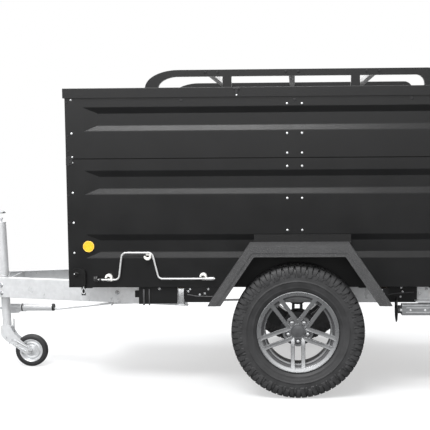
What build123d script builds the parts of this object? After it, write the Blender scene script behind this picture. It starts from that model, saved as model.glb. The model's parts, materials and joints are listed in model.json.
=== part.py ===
"""Off-road box trailer with a hinged lid, roof rack, fold-down tailgate and jockey wheel.

Millimetres, +Z up, the floor at z = 0.  The drawbar points to -X and the trailer's left
side is -Y.  The origin is under the middle of the overall length and width.  Left-hand
pieces are modelled and the right-hand ones are their mirror images.
"""

import os
from math import atan2, cos, degrees, radians, sin, tan

from build123d import *

os.makedirs("parts", exist_ok=True)

# ---------------------------------------------------------------- driving dimensions
BOX_LENGTH = 2510.0
BOX_WIDTH = 1262.0
BOX_FRONT_TO_AXLE = 1272.0
TIP_TO_AXLE = 2700.0
TAIL_OVERHANG = 34.0

BOX_BOTTOM = 571.0
LOWER_BOARD = 713.0
UPPER_BOARD = 350.0
WALL = 25.0

RECESS_DEPTH = 12.0
RECESS_HEIGHT = 129.0
RECESS_SLOPE = 31.0
RECESS_RUNOUT = 75.0
RECESS_SOFT = 16.0
RECESS_FROM_END = 103.0
RECESS_LOW = 165.0
RECESS_PITCH = 352.0
UPPER_RECESS = 150.0

FLOOR_THICKNESS = 18.0
BEARER_HEIGHT = 22.0
BEARER_WIDTH = 60.0
BEARERS = 7
FLOOR_ABOVE_EDGE = 14.0

TYRE_RADIUS = 358.0
TYRE_WIDTH = 205.0
TYRE_TO_BOX = 19.0
RIM_SEAT_RADIUS = 203.0
RIM_FLANGE_RADIUS = 220.0
RIM_WIDTH = 172.0
RIM_WALL = 7.0
BOLT_CIRCLE = 112.0
WHEEL_BOLTS = 5

BEAM_HEIGHT = 120.0
BEAM_FLANGE = 45.0
BEAM_WALL = 4.0
BEAM_BOTTOM = 443.0
BEAM_TAPER = 15.5
BEAM_FRONT_TO_AXLE = 2200.0
BEAM_REAR_TO_AXLE = 626.0
BEAM_FRONT_HALF = 60.0

LID_OVERHANG = 10.0
LID_SHEET = 4.0
LID_HEIGHT = 52.5
LID_LAP = 19.3
LID_SEAT = 0.3

RACK_FROM_LID = 58.0
RAIL_THICKNESS = 30.0
RACK_HEIGHT = 98.0
RACK_BAR = 36.0

JOCKEY_TO_AXLE = 1801.0
JOCKEY_TUBE = 60.0
JOCKEY_TUBE_WALL = 3.5
JOCKEY_LEAN = 1.8
CLAMP_WALL = 9.0
JOCKEY_WHEEL_RADIUS = 100.0
JOCKEY_WHEEL_WIDTH = 44.0
JOCKEY_TRAIL = 145.0

MUDGUARD_WIDTH = 239.0
MUDGUARD_TOP = 822.0
MUDGUARD_FOOT = 504.0
MUDGUARD_TOP_HALF = 271.0
MUDGUARD_FOOT_HALF = 489.0
MUDGUARD_CENTRE = 10.0
MUDGUARD_SHEET = 3.0
MUDGUARD_SIDE = 36.0
MUDGUARD_LIP = 21.0

RAIL_HEIGHT = 96.0
RAIL_FROM_SIDE = 111.0
REAR_RAIL_FLANGE = 40.0
REAR_RAIL_FRONT = -280.0

AXLE_TUBE = 80.0
AXLE_AHEAD = 155.0

STEADY_FROM_RAIL = 81.0
STEADY_Z = 442.0
STEADY_TUBE = 60.0
STEADY_PIVOT = 950.0
STEADY_REACH = 395.0
STEADY_TAIL = 100.0
DISH_RADIUS = 70.0
DISH_DEPTH = 10.0

LIGHT_BAR_WALL = 14.0

MOVING_GAP = 6.0
PIN_GAP = 0.3

# ---------------------------------------------------------------- derived positions
X_AXLE = (TIP_TO_AXLE - (BOX_LENGTH - BOX_FRONT_TO_AXLE + TAIL_OVERHANG)) / 2
X_FRONT = X_AXLE - BOX_FRONT_TO_AXLE
X_REAR = X_FRONT + BOX_LENGTH
X_MIDDLE = X_FRONT + BOX_LENGTH / 2
X_TIP = X_AXLE - TIP_TO_AXLE
HALF_BOX = BOX_WIDTH / 2
HALF_INSIDE = HALF_BOX - WALL

Z_SEAM = BOX_BOTTOM + LOWER_BOARD
Z_BOARD_TOP = Z_SEAM + UPPER_BOARD
Z_BEAM_TOP = BEAM_BOTTOM + BEAM_HEIGHT
Z_FLOOR_UNDER = BOX_BOTTOM + FLOOR_ABOVE_EDGE
Z_FLOOR_TOP = Z_FLOOR_UNDER + FLOOR_THICKNESS
Z_BEARER = Z_FLOOR_UNDER - BEARER_HEIGHT
Z_LID_UNDER = Z_BOARD_TOP + LID_SEAT
Z_LID_EDGE = Z_LID_UNDER - LID_LAP
Z_LID_TOP = Z_LID_EDGE + LID_HEIGHT
Z_RACK_TOP = Z_LID_TOP + RACK_HEIGHT
HALF_LID = HALF_BOX + LID_OVERHANG

Y_TYRE = HALF_BOX + TYRE_TO_BOX + TYRE_WIDTH / 2
RAIL_OUTER = HALF_LID - RACK_FROM_LID
REAR_RAIL_Y = HALF_BOX - RAIL_FROM_SIDE
STEADY_Y = REAR_RAIL_Y + STEADY_FROM_RAIL


def save(part, node):
    """Label one finished piece and write it under its node name."""
    part.label = node
    export_step(part, f"parts/{node}.step")


def save_pair(left_part, node):
    """Write a left-hand piece and its mirror image."""
    save(left_part, node + "_left")
    with BuildPart() as right_hand:
        mirror(left_part, about=Plane.XZ)
    save(right_hand.part, node + "_right")


def block(x0, x1, y0, y1, z0, z1, mode=Mode.ADD):
    """A box given by its two corners, added to the part being built."""
    with Locations(((x0 + x1) / 2, (y0 + y1) / 2, (z0 + z1) / 2)):
        Box(abs(x1 - x0), abs(y1 - y0), abs(z1 - z0), mode=mode)


def rod(x, y0, y1, z, radius, mode=Mode.ADD):
    """A round bar along Y."""
    with Locations((x, (y0 + y1) / 2, z)):
        Cylinder(radius, abs(y1 - y0), rotation=(90, 0, 0), mode=mode)


# ---------------------------------------------------------------- drawbar
def beam_outside(x):
    """Distance from the middle to a drawbar beam's outer face, at the position x."""
    return BEAM_FRONT_HALF + (x - X_BEAM_FRONT) * tan(radians(BEAM_TAPER))


def beam_inside(x):
    """Distance from the middle to the inner face of a drawbar beam's web."""
    return beam_outside(x) - BEAM_WALL / cos(radians(BEAM_TAPER))


X_BEAM_FRONT = X_AXLE - BEAM_FRONT_TO_AXLE
X_BEAM_REAR = X_AXLE - BEAM_REAR_TO_AXLE
beam_run = (X_BEAM_REAR - X_BEAM_FRONT) / cos(radians(BEAM_TAPER))
beam_plane = Plane(
    origin=(X_BEAM_FRONT, -BEAM_FRONT_HALF, BEAM_BOTTOM),
    x_dir=(sin(radians(BEAM_TAPER)), cos(radians(BEAM_TAPER)), 0),
    z_dir=(cos(radians(BEAM_TAPER)), -sin(radians(BEAM_TAPER)), 0),
)
with BuildPart() as drawbar_beam:
    with BuildSketch(beam_plane):
        Rectangle(BEAM_FLANGE, BEAM_HEIGHT, align=(Align.MIN, Align.MIN))
        with Locations((BEAM_WALL, BEAM_WALL)):
            Rectangle(
                BEAM_FLANGE,
                BEAM_HEIGHT - 2 * BEAM_WALL,
                align=(Align.MIN, Align.MIN),
                mode=Mode.SUBTRACT,
            )
    extrude(amount=beam_run + 2 * BEAM_FLANGE)
    fillet(
        drawbar_beam.edges().filter_by(lambda e: e.length > beam_run).sort_by(Axis.Y)[:2],
        radius=BEAM_WALL * 0.9,
    )
    split(bisect_by=Plane.YZ.offset(X_BEAM_REAR), keep=Keep.BOTTOM)
save_pair(drawbar_beam.part, "drawbar_beam")

# The jockey wheel stands beside the left beam's inner flange, leaning a little.
X_JOCKEY = X_AXLE - JOCKEY_TO_AXLE
JOCKEY_CLEAR = 3.0
JOCKEY_Y = -beam_outside(X_JOCKEY) + (BEAM_FLANGE + JOCKEY_TUBE / 2 + JOCKEY_CLEAR) / cos(radians(BEAM_TAPER))
JOCKEY_LEG = JOCKEY_TUBE - 2 * JOCKEY_TUBE_WALL - 1
CLAMP_RADIUS = JOCKEY_TUBE / 2 + CLAMP_WALL

# A pressed cross plate ties the beams together and carries the jockey wheel's clamp.
PLATE_WALL = 6.0
PLATE_FLANGE = 52.0
X_PLATE = X_JOCKEY + CLAMP_RADIUS + 1
Z_PLATE_LOW = BEAM_BOTTOM + BEAM_WALL + 4
Z_PLATE_HIGH = Z_BEAM_TOP - BEAM_WALL - 4
with BuildPart() as drawbar_cross_plate:
    with BuildSketch(Plane.XY.offset(Z_PLATE_LOW)):
        with BuildLine():
            x_back = X_PLATE + PLATE_WALL
            x_nose = X_PLATE - PLATE_FLANGE
            Polyline(
                (x_nose, -beam_inside(x_nose)),
                (x_back, -beam_inside(x_back)),
                (x_back, beam_inside(x_back)),
                (x_nose, beam_inside(x_nose)),
                (x_nose, beam_inside(x_nose) - PLATE_WALL),
                (X_PLATE, beam_inside(X_PLATE) - PLATE_WALL),
                (X_PLATE, -beam_inside(X_PLATE) + PLATE_WALL),
                (x_nose, -beam_inside(x_nose) + PLATE_WALL),
                close=True,
            )
        make_face()
    extrude(amount=Z_PLATE_HIGH - Z_PLATE_LOW)
save(drawbar_cross_plate.part, "drawbar_cross_plate")

# The overrun housing sits between the front ends of the beams.
HOUSING_NOSE = 280.0
HOUSING_TAIL = 130.0
HOUSING_NOSE_HALF = 50.0
DRAW_TUBE_Z = 500.0
X_NOSE = X_BEAM_FRONT - HOUSING_NOSE
X_HOUSING_TAIL = X_BEAM_FRONT + HOUSING_TAIL
Z_HOUSING_LOW = BEAM_BOTTOM + BEAM_WALL
Z_HOUSING_HIGH = Z_BEAM_TOP - BEAM_WALL
LEVER_LUG_Y = 8.0
LEVER_LUG_WALL = 12.0
X_LEVER = X_NOSE + 110
Z_LEVER = Z_BEAM_TOP + 22
LEVER_PIN = 8.0
X_LINK = X_NOSE + 140
LINK_Z = 366.0
LINK_HALF = 18.0
with BuildPart() as overrun_housing:
    with BuildSketch(Plane.XY.offset(Z_HOUSING_LOW)):
        with BuildLine():
            Polyline(
                (X_NOSE, -HOUSING_NOSE_HALF),
                (X_BEAM_FRONT, -HOUSING_NOSE_HALF),
                (X_BEAM_FRONT + 8, -beam_inside(X_BEAM_FRONT + 8)),
                (X_HOUSING_TAIL, -beam_inside(X_HOUSING_TAIL)),
                (X_HOUSING_TAIL, beam_inside(X_HOUSING_TAIL)),
                (X_BEAM_FRONT + 8, beam_inside(X_BEAM_FRONT + 8)),
                (X_BEAM_FRONT, HOUSING_NOSE_HALF),
                (X_NOSE, HOUSING_NOSE_HALF),
                close=True,
            )
        make_face()
    extrude(amount=Z_HOUSING_HIGH - Z_HOUSING_LOW)
    fillet(overrun_housing.edges().filter_by(Axis.Z).group_by(Axis.X)[0], radius=14)
    block(X_LEVER - 20, X_LEVER + 20, LEVER_LUG_Y, LEVER_LUG_Y + LEVER_LUG_WALL,
          Z_HOUSING_HIGH - 1, Z_LEVER + 16)
    rod(X_LEVER, LEVER_LUG_Y, LEVER_LUG_Y + LEVER_LUG_WALL + 16, Z_LEVER, LEVER_PIN)
    block(X_LINK - LINK_HALF, X_LINK + LINK_HALF, -8, 8, LINK_Z - 22, Z_HOUSING_LOW + 1)
save(overrun_housing.part, "overrun_housing")

GAITER_LENGTH = 74.0
GAITER_FOLDS = 5
X_GAITER = X_NOSE - GAITER_LENGTH
with BuildPart() as overrun_gaiter:
    fold = GAITER_LENGTH / GAITER_FOLDS
    with BuildSketch(Plane.XZ):
        with BuildLine():
            crest = 44.0
            root = 35.0
            zigzag = []
            for index in range(GAITER_FOLDS):
                zigzag.append((X_GAITER + index * fold, DRAW_TUBE_Z + root))
                zigzag.append((X_GAITER + (index + 0.5) * fold, DRAW_TUBE_Z + crest))
            zigzag.append((X_NOSE, DRAW_TUBE_Z + root))
            Polyline(
                (X_GAITER, DRAW_TUBE_Z),
                *zigzag,
                (X_NOSE, DRAW_TUBE_Z),
                close=True,
            )
        make_face()
    revolve(axis=Axis((0, 0, DRAW_TUBE_Z), (1, 0, 0)))
save(overrun_gaiter.part, "overrun_gaiter")

# The coupling head takes a 50 mm towing ball from below.
BALL_RADIUS = 25.0
BALL_CLEARANCE = 0.4
HEAD_HALF = 38.0
X_BALL = X_TIP + HEAD_HALF
Z_BALL = 476.0
Z_HEAD_LOW = 452.0
Z_HEAD_HIGH = 526.0
with BuildPart() as coupling_head:
    with BuildSketch(Plane.XY.offset(Z_HEAD_LOW)):
        with Locations((X_BALL, 0)):
            Circle(HEAD_HALF)
        with Locations(((X_BALL + X_GAITER) / 2, 0)):
            Rectangle(X_GAITER - X_BALL, 2 * HEAD_HALF - 8)
    extrude(amount=Z_HEAD_HIGH - Z_HEAD_LOW)
    fillet(coupling_head.faces().sort_by(Axis.Z)[-1].edges(), radius=14)
    with Locations((X_BALL, 0, Z_BALL)):
        Sphere(BALL_RADIUS + BALL_CLEARANCE, mode=Mode.SUBTRACT)
    with Locations((X_BALL, 0, (Z_BALL + Z_HEAD_LOW - 2) / 2)):
        Cylinder(BALL_RADIUS + BALL_CLEARANCE, Z_BALL - Z_HEAD_LOW + 2, mode=Mode.SUBTRACT)
save(coupling_head.part, "coupling_head")

HANDLE_HALF = 15.0
with BuildPart() as coupling_handle:
    with BuildSketch(Plane.XZ.offset(-HANDLE_HALF)):
        with BuildLine():
            Polyline(
                (X_BALL + 4, Z_HEAD_HIGH),
                (X_BALL + 60, Z_HEAD_HIGH),
                (X_BALL + 74, Z_HEAD_HIGH + 22),
                (X_BALL + 168, Z_HEAD_HIGH + 52),
                (X_BALL + 162, Z_HEAD_HIGH + 68),
                (X_BALL + 52, Z_HEAD_HIGH + 44),
                (X_BALL + 18, Z_HEAD_HIGH + 26),
                close=True,
            )
        make_face()
    extrude(amount=2 * HANDLE_HALF)
    fillet(coupling_handle.edges().filter_by(Axis.Y), radius=4)
save(coupling_handle.part, "coupling_handle")

# The handbrake lever is drawn up, as it stands when the trailer is parked.
LEVER_LENGTH = 360.0
LEVER_LEAN = 14.0
LEVER_WALL = 10.0
lever_plane = Plane(
    origin=(X_LEVER, LEVER_LUG_Y + LEVER_LUG_WALL + PIN_GAP, Z_LEVER),
    x_dir=(sin(radians(LEVER_LEAN)), 0, cos(radians(LEVER_LEAN))),
    z_dir=(0, 1, 0),
)
with BuildPart() as handbrake_lever:
    with BuildSketch(lever_plane):
        with Locations((LEVER_LENGTH / 2 - 16, 0)):
            SlotOverall(LEVER_LENGTH, 34)
        Circle(LEVER_PIN + PIN_GAP, mode=Mode.SUBTRACT)
    extrude(amount=LEVER_WALL)
    with BuildSketch(lever_plane.offset(-8)):
        with Locations((LEVER_LENGTH - 90, 0)):
            SlotOverall(130, 28)
    extrude(amount=LEVER_WALL + 16)
save(handbrake_lever.part, "handbrake_lever")

# ---------------------------------------------------------------- brake linkage
CYLINDER_FRONT = X_AXLE - 1730
CYLINDER_LENGTH = 211.0
CYLINDER_RADIUS = 22.0
CYLINDER_Z = 352.0
BRAKE_ROD_RADIUS = 7.0
ROD_DROP = 9.0
X_CYLINDER_REAR = CYLINDER_FRONT + CYLINDER_LENGTH
X_ROD_HANGER = X_AXLE - 1156
Z_ROD_HANGER = 378.0
X_ROD_END = X_AXLE - 262
Z_ROD_END = 400.0
with BuildPart() as brake_spring_cylinder:
    with Locations((CYLINDER_FRONT + CYLINDER_LENGTH / 2, 0, CYLINDER_Z)):
        Cylinder(CYLINDER_RADIUS, CYLINDER_LENGTH, rotation=(0, 90, 0))
    block(CYLINDER_FRONT - 70, CYLINDER_FRONT + 34, -5, 5,
          CYLINDER_Z - CYLINDER_RADIUS - 4, CYLINDER_Z + CYLINDER_RADIUS)
    with BuildLine():
        Polyline(
            (X_LINK + LINK_HALF, 0, LINK_Z - 12),
            (X_LINK + LINK_HALF + 30, 0, LINK_Z - 12),
            (CYLINDER_FRONT - 60, 0, CYLINDER_Z - 6),
        )
    with BuildSketch(Plane(origin=(X_LINK + LINK_HALF, 0, LINK_Z - 12), z_dir=(1, 0, 0))):
        Circle(BRAKE_ROD_RADIUS)
    sweep(transition=Transition.RIGHT)
save(brake_spring_cylinder.part, "brake_spring_cylinder")

with BuildPart() as brake_rod:
    with BuildLine():
        Polyline(
            (X_CYLINDER_REAR, 0, CYLINDER_Z - ROD_DROP),
            (X_CYLINDER_REAR + 34, 0, CYLINDER_Z - ROD_DROP),
            (X_ROD_HANGER, 0, Z_ROD_HANGER),
            (X_ROD_END, 0, Z_ROD_END),
        )
    with BuildSketch(Plane(origin=(X_CYLINDER_REAR, 0, CYLINDER_Z - ROD_DROP), z_dir=(1, 0, 0))):
        Circle(BRAKE_ROD_RADIUS)
    sweep(transition=Transition.RIGHT)
    block(X_ROD_END - 4, X_ROD_END + 8, -70, 70, Z_ROD_END - 14, Z_ROD_END + 14)
    block(X_ROD_END + 8, X_AXLE - AXLE_AHEAD - AXLE_TUBE / 2, -8, 8, Z_ROD_END - 10, Z_ROD_END + 10)
    block(X_ROD_HANGER - 3, X_ROD_HANGER + 3, -15, 15, Z_ROD_HANGER - 14, Z_BEARER)
save(brake_rod.part, "brake_rod")

# ---------------------------------------------------------------- jockey wheel
Z_CLAMP_LOW = 468.0
Z_CLAMP_HIGH = 538.0
Z_CLAMP = (Z_CLAMP_LOW + Z_CLAMP_HIGH) / 2
TUBE_UP = 385.0
TUBE_DOWN = 66.0
LEG_UP = 187.0
LEG_DOWN = 245.0
CRANK_ARM = 120.0
lean_cos = cos(radians(JOCKEY_LEAN))
lean_sin = sin(radians(JOCKEY_LEAN))
lean_location = Location((X_JOCKEY, JOCKEY_Y, Z_CLAMP), (0, -JOCKEY_LEAN, 0))


def jockey_level(along):
    """A plane across the jockey tube's axis, at a distance along it from the clamp."""
    return Plane(
        origin=(X_JOCKEY - along * lean_sin, JOCKEY_Y, Z_CLAMP + along * lean_cos),
        x_dir=(lean_cos, 0, lean_sin),
        z_dir=(-lean_sin, 0, lean_cos),
    )


def jockey_side(distance):
    """A plane beside the jockey tube, facing the left: x to the rear, y up the tube."""
    return Plane(
        origin=(X_JOCKEY, JOCKEY_Y - distance, Z_CLAMP),
        x_dir=(lean_cos, 0, lean_sin),
        z_dir=(0, -1, 0),
    )


with BuildPart() as jockey_clamp:
    with BuildSketch(Plane.XY.offset(Z_CLAMP_LOW)):
        with Locations((X_JOCKEY, JOCKEY_Y)):
            Circle(CLAMP_RADIUS)
        with Locations(((X_JOCKEY + X_PLATE) / 2, JOCKEY_Y)):
            Rectangle(X_PLATE - X_JOCKEY, 60)
        with Locations((X_JOCKEY, JOCKEY_Y + CLAMP_RADIUS + 6)):
            Rectangle(30, 26)
    extrude(amount=Z_CLAMP_HIGH - Z_CLAMP_LOW)
    with Locations(lean_location):
        Cylinder(JOCKEY_TUBE / 2, 2 * (Z_CLAMP_HIGH - Z_CLAMP_LOW), mode=Mode.SUBTRACT)
    rod(X_JOCKEY, JOCKEY_Y + CLAMP_RADIUS + 10, JOCKEY_Y + CLAMP_RADIUS + 60, Z_CLAMP, 8)
    block(X_JOCKEY - 6, X_JOCKEY + 6, JOCKEY_Y + CLAMP_RADIUS + 52, JOCKEY_Y + CLAMP_RADIUS + 64,
          Z_CLAMP_LOW + 5, Z_CLAMP_HIGH + 40)
save(jockey_clamp.part, "jockey_clamp")

with BuildPart() as jockey_outer_tube:
    with BuildSketch(jockey_level(-TUBE_DOWN)):
        Circle(JOCKEY_TUBE / 2)
        Circle(JOCKEY_TUBE / 2 - JOCKEY_TUBE_WALL, mode=Mode.SUBTRACT)
    extrude(amount=TUBE_DOWN + TUBE_UP)
    with BuildSketch(jockey_level(TUBE_UP)):
        Circle(JOCKEY_TUBE / 2)
    extrude(amount=8)
    with BuildSketch(jockey_level(TUBE_UP)):
        Circle(9)
    extrude(amount=34)
    with BuildSketch(jockey_level(TUBE_UP + 24)):
        with Locations((-CRANK_ARM / 2 + 6, 0)):
            Rectangle(CRANK_ARM + 12, 16)
    extrude(amount=10)
    with BuildSketch(jockey_level(TUBE_UP + 30)):
        with Locations((12 - CRANK_ARM, 0)):
            Circle(13)
    extrude(amount=74)
save(jockey_outer_tube.part, "jockey_outer_tube")

with BuildPart() as jockey_leg:
    with BuildSketch(jockey_level(-LEG_DOWN)):
        Circle(JOCKEY_LEG / 2)
        Circle(JOCKEY_LEG / 2 - 3, mode=Mode.SUBTRACT)
    extrude(amount=LEG_DOWN + LEG_UP)
    with BuildSketch(jockey_level(-LEG_DOWN)):
        Circle(JOCKEY_LEG / 2)
    extrude(amount=10)
save(jockey_leg.part, "jockey_leg")

# The fork trails the wheel behind the leg's axis; its hub is a wheel radius above the floor.
FORK_WALL = 4.0
FORK_HALF = JOCKEY_WHEEL_WIDTH / 2 + 7
HUB_BOSS = 18.0
fork_crown = -LEG_DOWN - PIN_GAP
hub_down = (JOCKEY_WHEEL_RADIUS - Z_CLAMP - JOCKEY_TRAIL * lean_sin) / lean_cos
X_JOCKEY_WHEEL = X_JOCKEY + JOCKEY_TRAIL * lean_cos - hub_down * lean_sin
with BuildPart() as jockey_fork:
    with BuildSketch(jockey_side(FORK_HALF)):
        with BuildLine():
            Polyline(
                (-34, fork_crown),
                (22, fork_crown),
                (37, fork_crown - 30),
                (55, fork_crown - 62),
                (JOCKEY_TRAIL - 22, hub_down + 33),
                (JOCKEY_TRAIL + 6, hub_down + HUB_BOSS),
                (JOCKEY_TRAIL + HUB_BOSS, hub_down),
                (JOCKEY_TRAIL + 6, hub_down - HUB_BOSS),
                (JOCKEY_TRAIL - 40, hub_down - 14),
                (32, fork_crown - 121),
                (-9, fork_crown - 93),
                (-34, fork_crown - 60),
                close=True,
            )
        make_face()
    extrude(amount=-2 * FORK_HALF)
    fillet(jockey_fork.edges().filter_by(Axis.Y), radius=8)
    with BuildSketch(jockey_side(FORK_HALF - FORK_WALL)):
        with Locations((JOCKEY_TRAIL / 2, fork_crown - 10)):
            Rectangle(JOCKEY_TRAIL + 200, 300, align=(Align.CENTER, Align.MAX))
    extrude(amount=-2 * (FORK_HALF - FORK_WALL), mode=Mode.SUBTRACT)
    rod(X_JOCKEY_WHEEL, JOCKEY_Y - FORK_HALF - 5, JOCKEY_Y + FORK_HALF + 5, JOCKEY_WHEEL_RADIUS, 8)
save(jockey_fork.part, "jockey_fork")

JOCKEY_RIM_RADIUS = 63.0
AXLE_BORE = 8.0 + PIN_GAP
with BuildPart() as jockey_tyre:
    with BuildSketch(Plane.XZ):
        with Locations((0, (JOCKEY_WHEEL_RADIUS + JOCKEY_RIM_RADIUS) / 2)):
            RectangleRounded(JOCKEY_WHEEL_WIDTH, JOCKEY_WHEEL_RADIUS - JOCKEY_RIM_RADIUS, 12)
    revolve(axis=Axis.X)
with BuildPart() as jockey_tyre_placed:
    add(jockey_tyre.part.rotate(Axis.Z, 90).translate((X_JOCKEY_WHEEL, JOCKEY_Y, JOCKEY_WHEEL_RADIUS)))
save(jockey_tyre_placed.part, "jockey_tyre")

with BuildPart() as jockey_rim:
    rod(X_JOCKEY_WHEEL, JOCKEY_Y - JOCKEY_WHEEL_WIDTH / 2 + 4, JOCKEY_Y + JOCKEY_WHEEL_WIDTH / 2 - 4,
        JOCKEY_WHEEL_RADIUS, JOCKEY_RIM_RADIUS)
    for face_sign in (-1, 1):
        dish_outer = JOCKEY_Y + face_sign * (JOCKEY_WHEEL_WIDTH / 2)
        dish_inner = JOCKEY_Y + face_sign * 6
        rod(X_JOCKEY_WHEEL, dish_outer, dish_inner, JOCKEY_WHEEL_RADIUS,
            JOCKEY_RIM_RADIUS - 9, mode=Mode.SUBTRACT)
        rod(X_JOCKEY_WHEEL, dish_outer, dish_inner, JOCKEY_WHEEL_RADIUS, 20)
    rod(X_JOCKEY_WHEEL, JOCKEY_Y - JOCKEY_WHEEL_WIDTH, JOCKEY_Y + JOCKEY_WHEEL_WIDTH,
        JOCKEY_WHEEL_RADIUS, AXLE_BORE, mode=Mode.SUBTRACT)
save(jockey_rim.part, "jockey_rim")

# ---------------------------------------------------------------- floor and chassis
with BuildPart() as floor_bearers:
    first = X_FRONT + WALL + 40
    last = X_REAR - 130
    for index in range(BEARERS):
        x_bearer = first + index * (last - first) / (BEARERS - 1)
        block(x_bearer, x_bearer + BEARER_WIDTH, -HALF_INSIDE, HALF_INSIDE, Z_BEARER, Z_FLOOR_UNDER)
save(floor_bearers.part, "floor_bearers")

POST_WIDTH = 40.0
POST_DEPTH = 40.0
X_POST = X_REAR - POST_DEPTH
with BuildPart() as floor_panel:
    block(X_FRONT + WALL, X_POST, -HALF_INSIDE, HALF_INSIDE, Z_FLOOR_UNDER, Z_FLOOR_TOP)
save(floor_panel.part, "floor_panel")

# Galvanised channels under the rear half carry the axle and the steadies.
X_STEADY = X_AXLE + STEADY_PIVOT
X_REAR_BRACKET = X_AXLE + 440
X_REAR_BRACKET_END = X_AXLE + 668
X_RAIL_FRONT = X_AXLE + REAR_RAIL_FRONT
X_RAIL_REAR = X_REAR - LIGHT_BAR_WALL
Z_RAIL_TOP = Z_BEARER
Z_RAIL_LOW = Z_RAIL_TOP - RAIL_HEIGHT
PIVOT_RADIUS = 10.0
MOUNT_WALL = 6.0
with BuildPart() as rear_rail:
    block(X_RAIL_FRONT, X_RAIL_REAR, -REAR_RAIL_Y, -REAR_RAIL_Y + REAR_RAIL_FLANGE,
          Z_RAIL_LOW, Z_RAIL_TOP)
    block(X_RAIL_FRONT - 1, X_RAIL_REAR + 1, -REAR_RAIL_Y + BEAM_WALL, -REAR_RAIL_Y + 60,
          Z_RAIL_LOW + BEAM_WALL, Z_RAIL_TOP - BEAM_WALL, mode=Mode.SUBTRACT)
    block(X_REAR_BRACKET_END + 8, X_STEADY + 55, -REAR_RAIL_Y - MOUNT_WALL, -REAR_RAIL_Y,
          STEADY_Z - 34, Z_RAIL_TOP - 6)
    rod(X_STEADY, -REAR_RAIL_Y - MOUNT_WALL + 1, -STEADY_Y + STEADY_TUBE / 2 - 10, STEADY_Z,
        PIVOT_RADIUS)
    rod(X_STEADY, -REAR_RAIL_Y - MOUNT_WALL + 1, -STEADY_Y + STEADY_TUBE / 2 + PIN_GAP, STEADY_Z,
        PIVOT_RADIUS + 12)
    block(X_REAR_BRACKET_END - 14, X_STEADY - 60, -STEADY_Y + 5, -REAR_RAIL_Y - MOUNT_WALL,
          STEADY_Z + STEADY_TUBE / 2 + 6, STEADY_Z + STEADY_TUBE / 2 + 12)
save_pair(rear_rail.part, "rear_rail")

# Black folded brackets under the left-hand edge: a cross channel with its plate, and the
# two that hold the mudguard.
X_OUTRIGGER = X_AXLE - 886
OUTRIGGER_WIDTH = 54.0
Z_OUTRIGGER = 473.0
BRACKET_WALL = 5.0
X_BRACKET_FRONT = X_AXLE - 626
X_BRACKET_REAR = X_AXLE - 416
Z_BRACKET = 487.0
Z_REAR_BRACKET = 470.0
with BuildPart() as body_brackets:
    # cross channel from the beam to the side, open to the rear
    block(X_OUTRIGGER, X_OUTRIGGER + OUTRIGGER_WIDTH, -HALF_INSIDE,
          -beam_outside(X_OUTRIGGER + OUTRIGGER_WIDTH), Z_OUTRIGGER, Z_BEARER)
    block(X_OUTRIGGER + BRACKET_WALL, X_OUTRIGGER + OUTRIGGER_WIDTH + 1, -HALF_INSIDE - 1,
          -beam_outside(X_OUTRIGGER) + 40, Z_OUTRIGGER + BRACKET_WALL, Z_BEARER - BRACKET_WALL,
          mode=Mode.SUBTRACT)
    block(X_OUTRIGGER - 24, X_OUTRIGGER, -HALF_INSIDE + 12, -HALF_INSIDE + 40,
          Z_OUTRIGGER + 36, Z_OUTRIGGER + 72)
    # side plate behind it
    block(X_OUTRIGGER + 2, X_OUTRIGGER + 216, -HALF_INSIDE - BRACKET_WALL,
          -HALF_INSIDE, Z_OUTRIGGER + 3, BOX_BOTTOM)
    # front mudguard bracket, a folded tray that closes the end of the drawbar beam
    block(X_BRACKET_FRONT, X_BRACKET_REAR, -HALF_BOX + BRACKET_WALL,
          -beam_inside(X_BEAM_REAR) + BEAM_FLANGE, Z_BRACKET, Z_BEARER)
    block(X_BRACKET_FRONT + BRACKET_WALL, X_BRACKET_REAR - BRACKET_WALL, -HALF_BOX,
          0, Z_BRACKET - 1, Z_BEARER - BRACKET_WALL, mode=Mode.SUBTRACT)
    block(X_BRACKET_FRONT, X_BRACKET_REAR, -HALF_BOX, -HALF_BOX + BRACKET_WALL, Z_BRACKET, BOX_BOTTOM)
    # rear mudguard bracket on the rail
    block(X_REAR_BRACKET, X_REAR_BRACKET_END, -REAR_RAIL_Y - BRACKET_WALL, -REAR_RAIL_Y,
          Z_REAR_BRACKET, Z_BEARER)
    block(X_REAR_BRACKET, X_REAR_BRACKET + 58, -HALF_BOX, -REAR_RAIL_Y - BRACKET_WALL,
          Z_REAR_BRACKET + 35, Z_BEARER)
save_pair(body_brackets.part, "body_brackets")

# ---------------------------------------------------------------- axle and wheels
Z_AXLE_TUBE = Z_RAIL_LOW - AXLE_TUBE / 2
X_AXLE_TUBE = X_AXLE - AXLE_AHEAD
HUB_FACE = Y_TYRE + 25.5
DRUM_DEPTH = 76.0
DRUM_RADIUS = 93.0
BACKPLATE_Y = HUB_FACE - DRUM_DEPTH - 58
BACKPLATE_WALL = 6.0
BACKPLATE_RADIUS = DRUM_RADIUS + 5
DRUM_Y = BACKPLATE_Y + BACKPLATE_WALL + 5
ARM_WALL = 30.0
ARM_INNER = BACKPLATE_Y - 8 - ARM_WALL
STUB_RADIUS = 19.0
DRUM_HAT = 64.0
with BuildPart() as axle_beam:
    with BuildSketch(Plane.XZ.offset(-ARM_INNER)):
        with Locations((X_AXLE_TUBE, Z_AXLE_TUBE)):
            RectangleRounded(AXLE_TUBE, AXLE_TUBE, 10)
            RectangleRounded(AXLE_TUBE - 10, AXLE_TUBE - 10, 6, mode=Mode.SUBTRACT)
    extrude(amount=2 * ARM_INNER)
save(axle_beam.part, "axle_beam")

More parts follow.
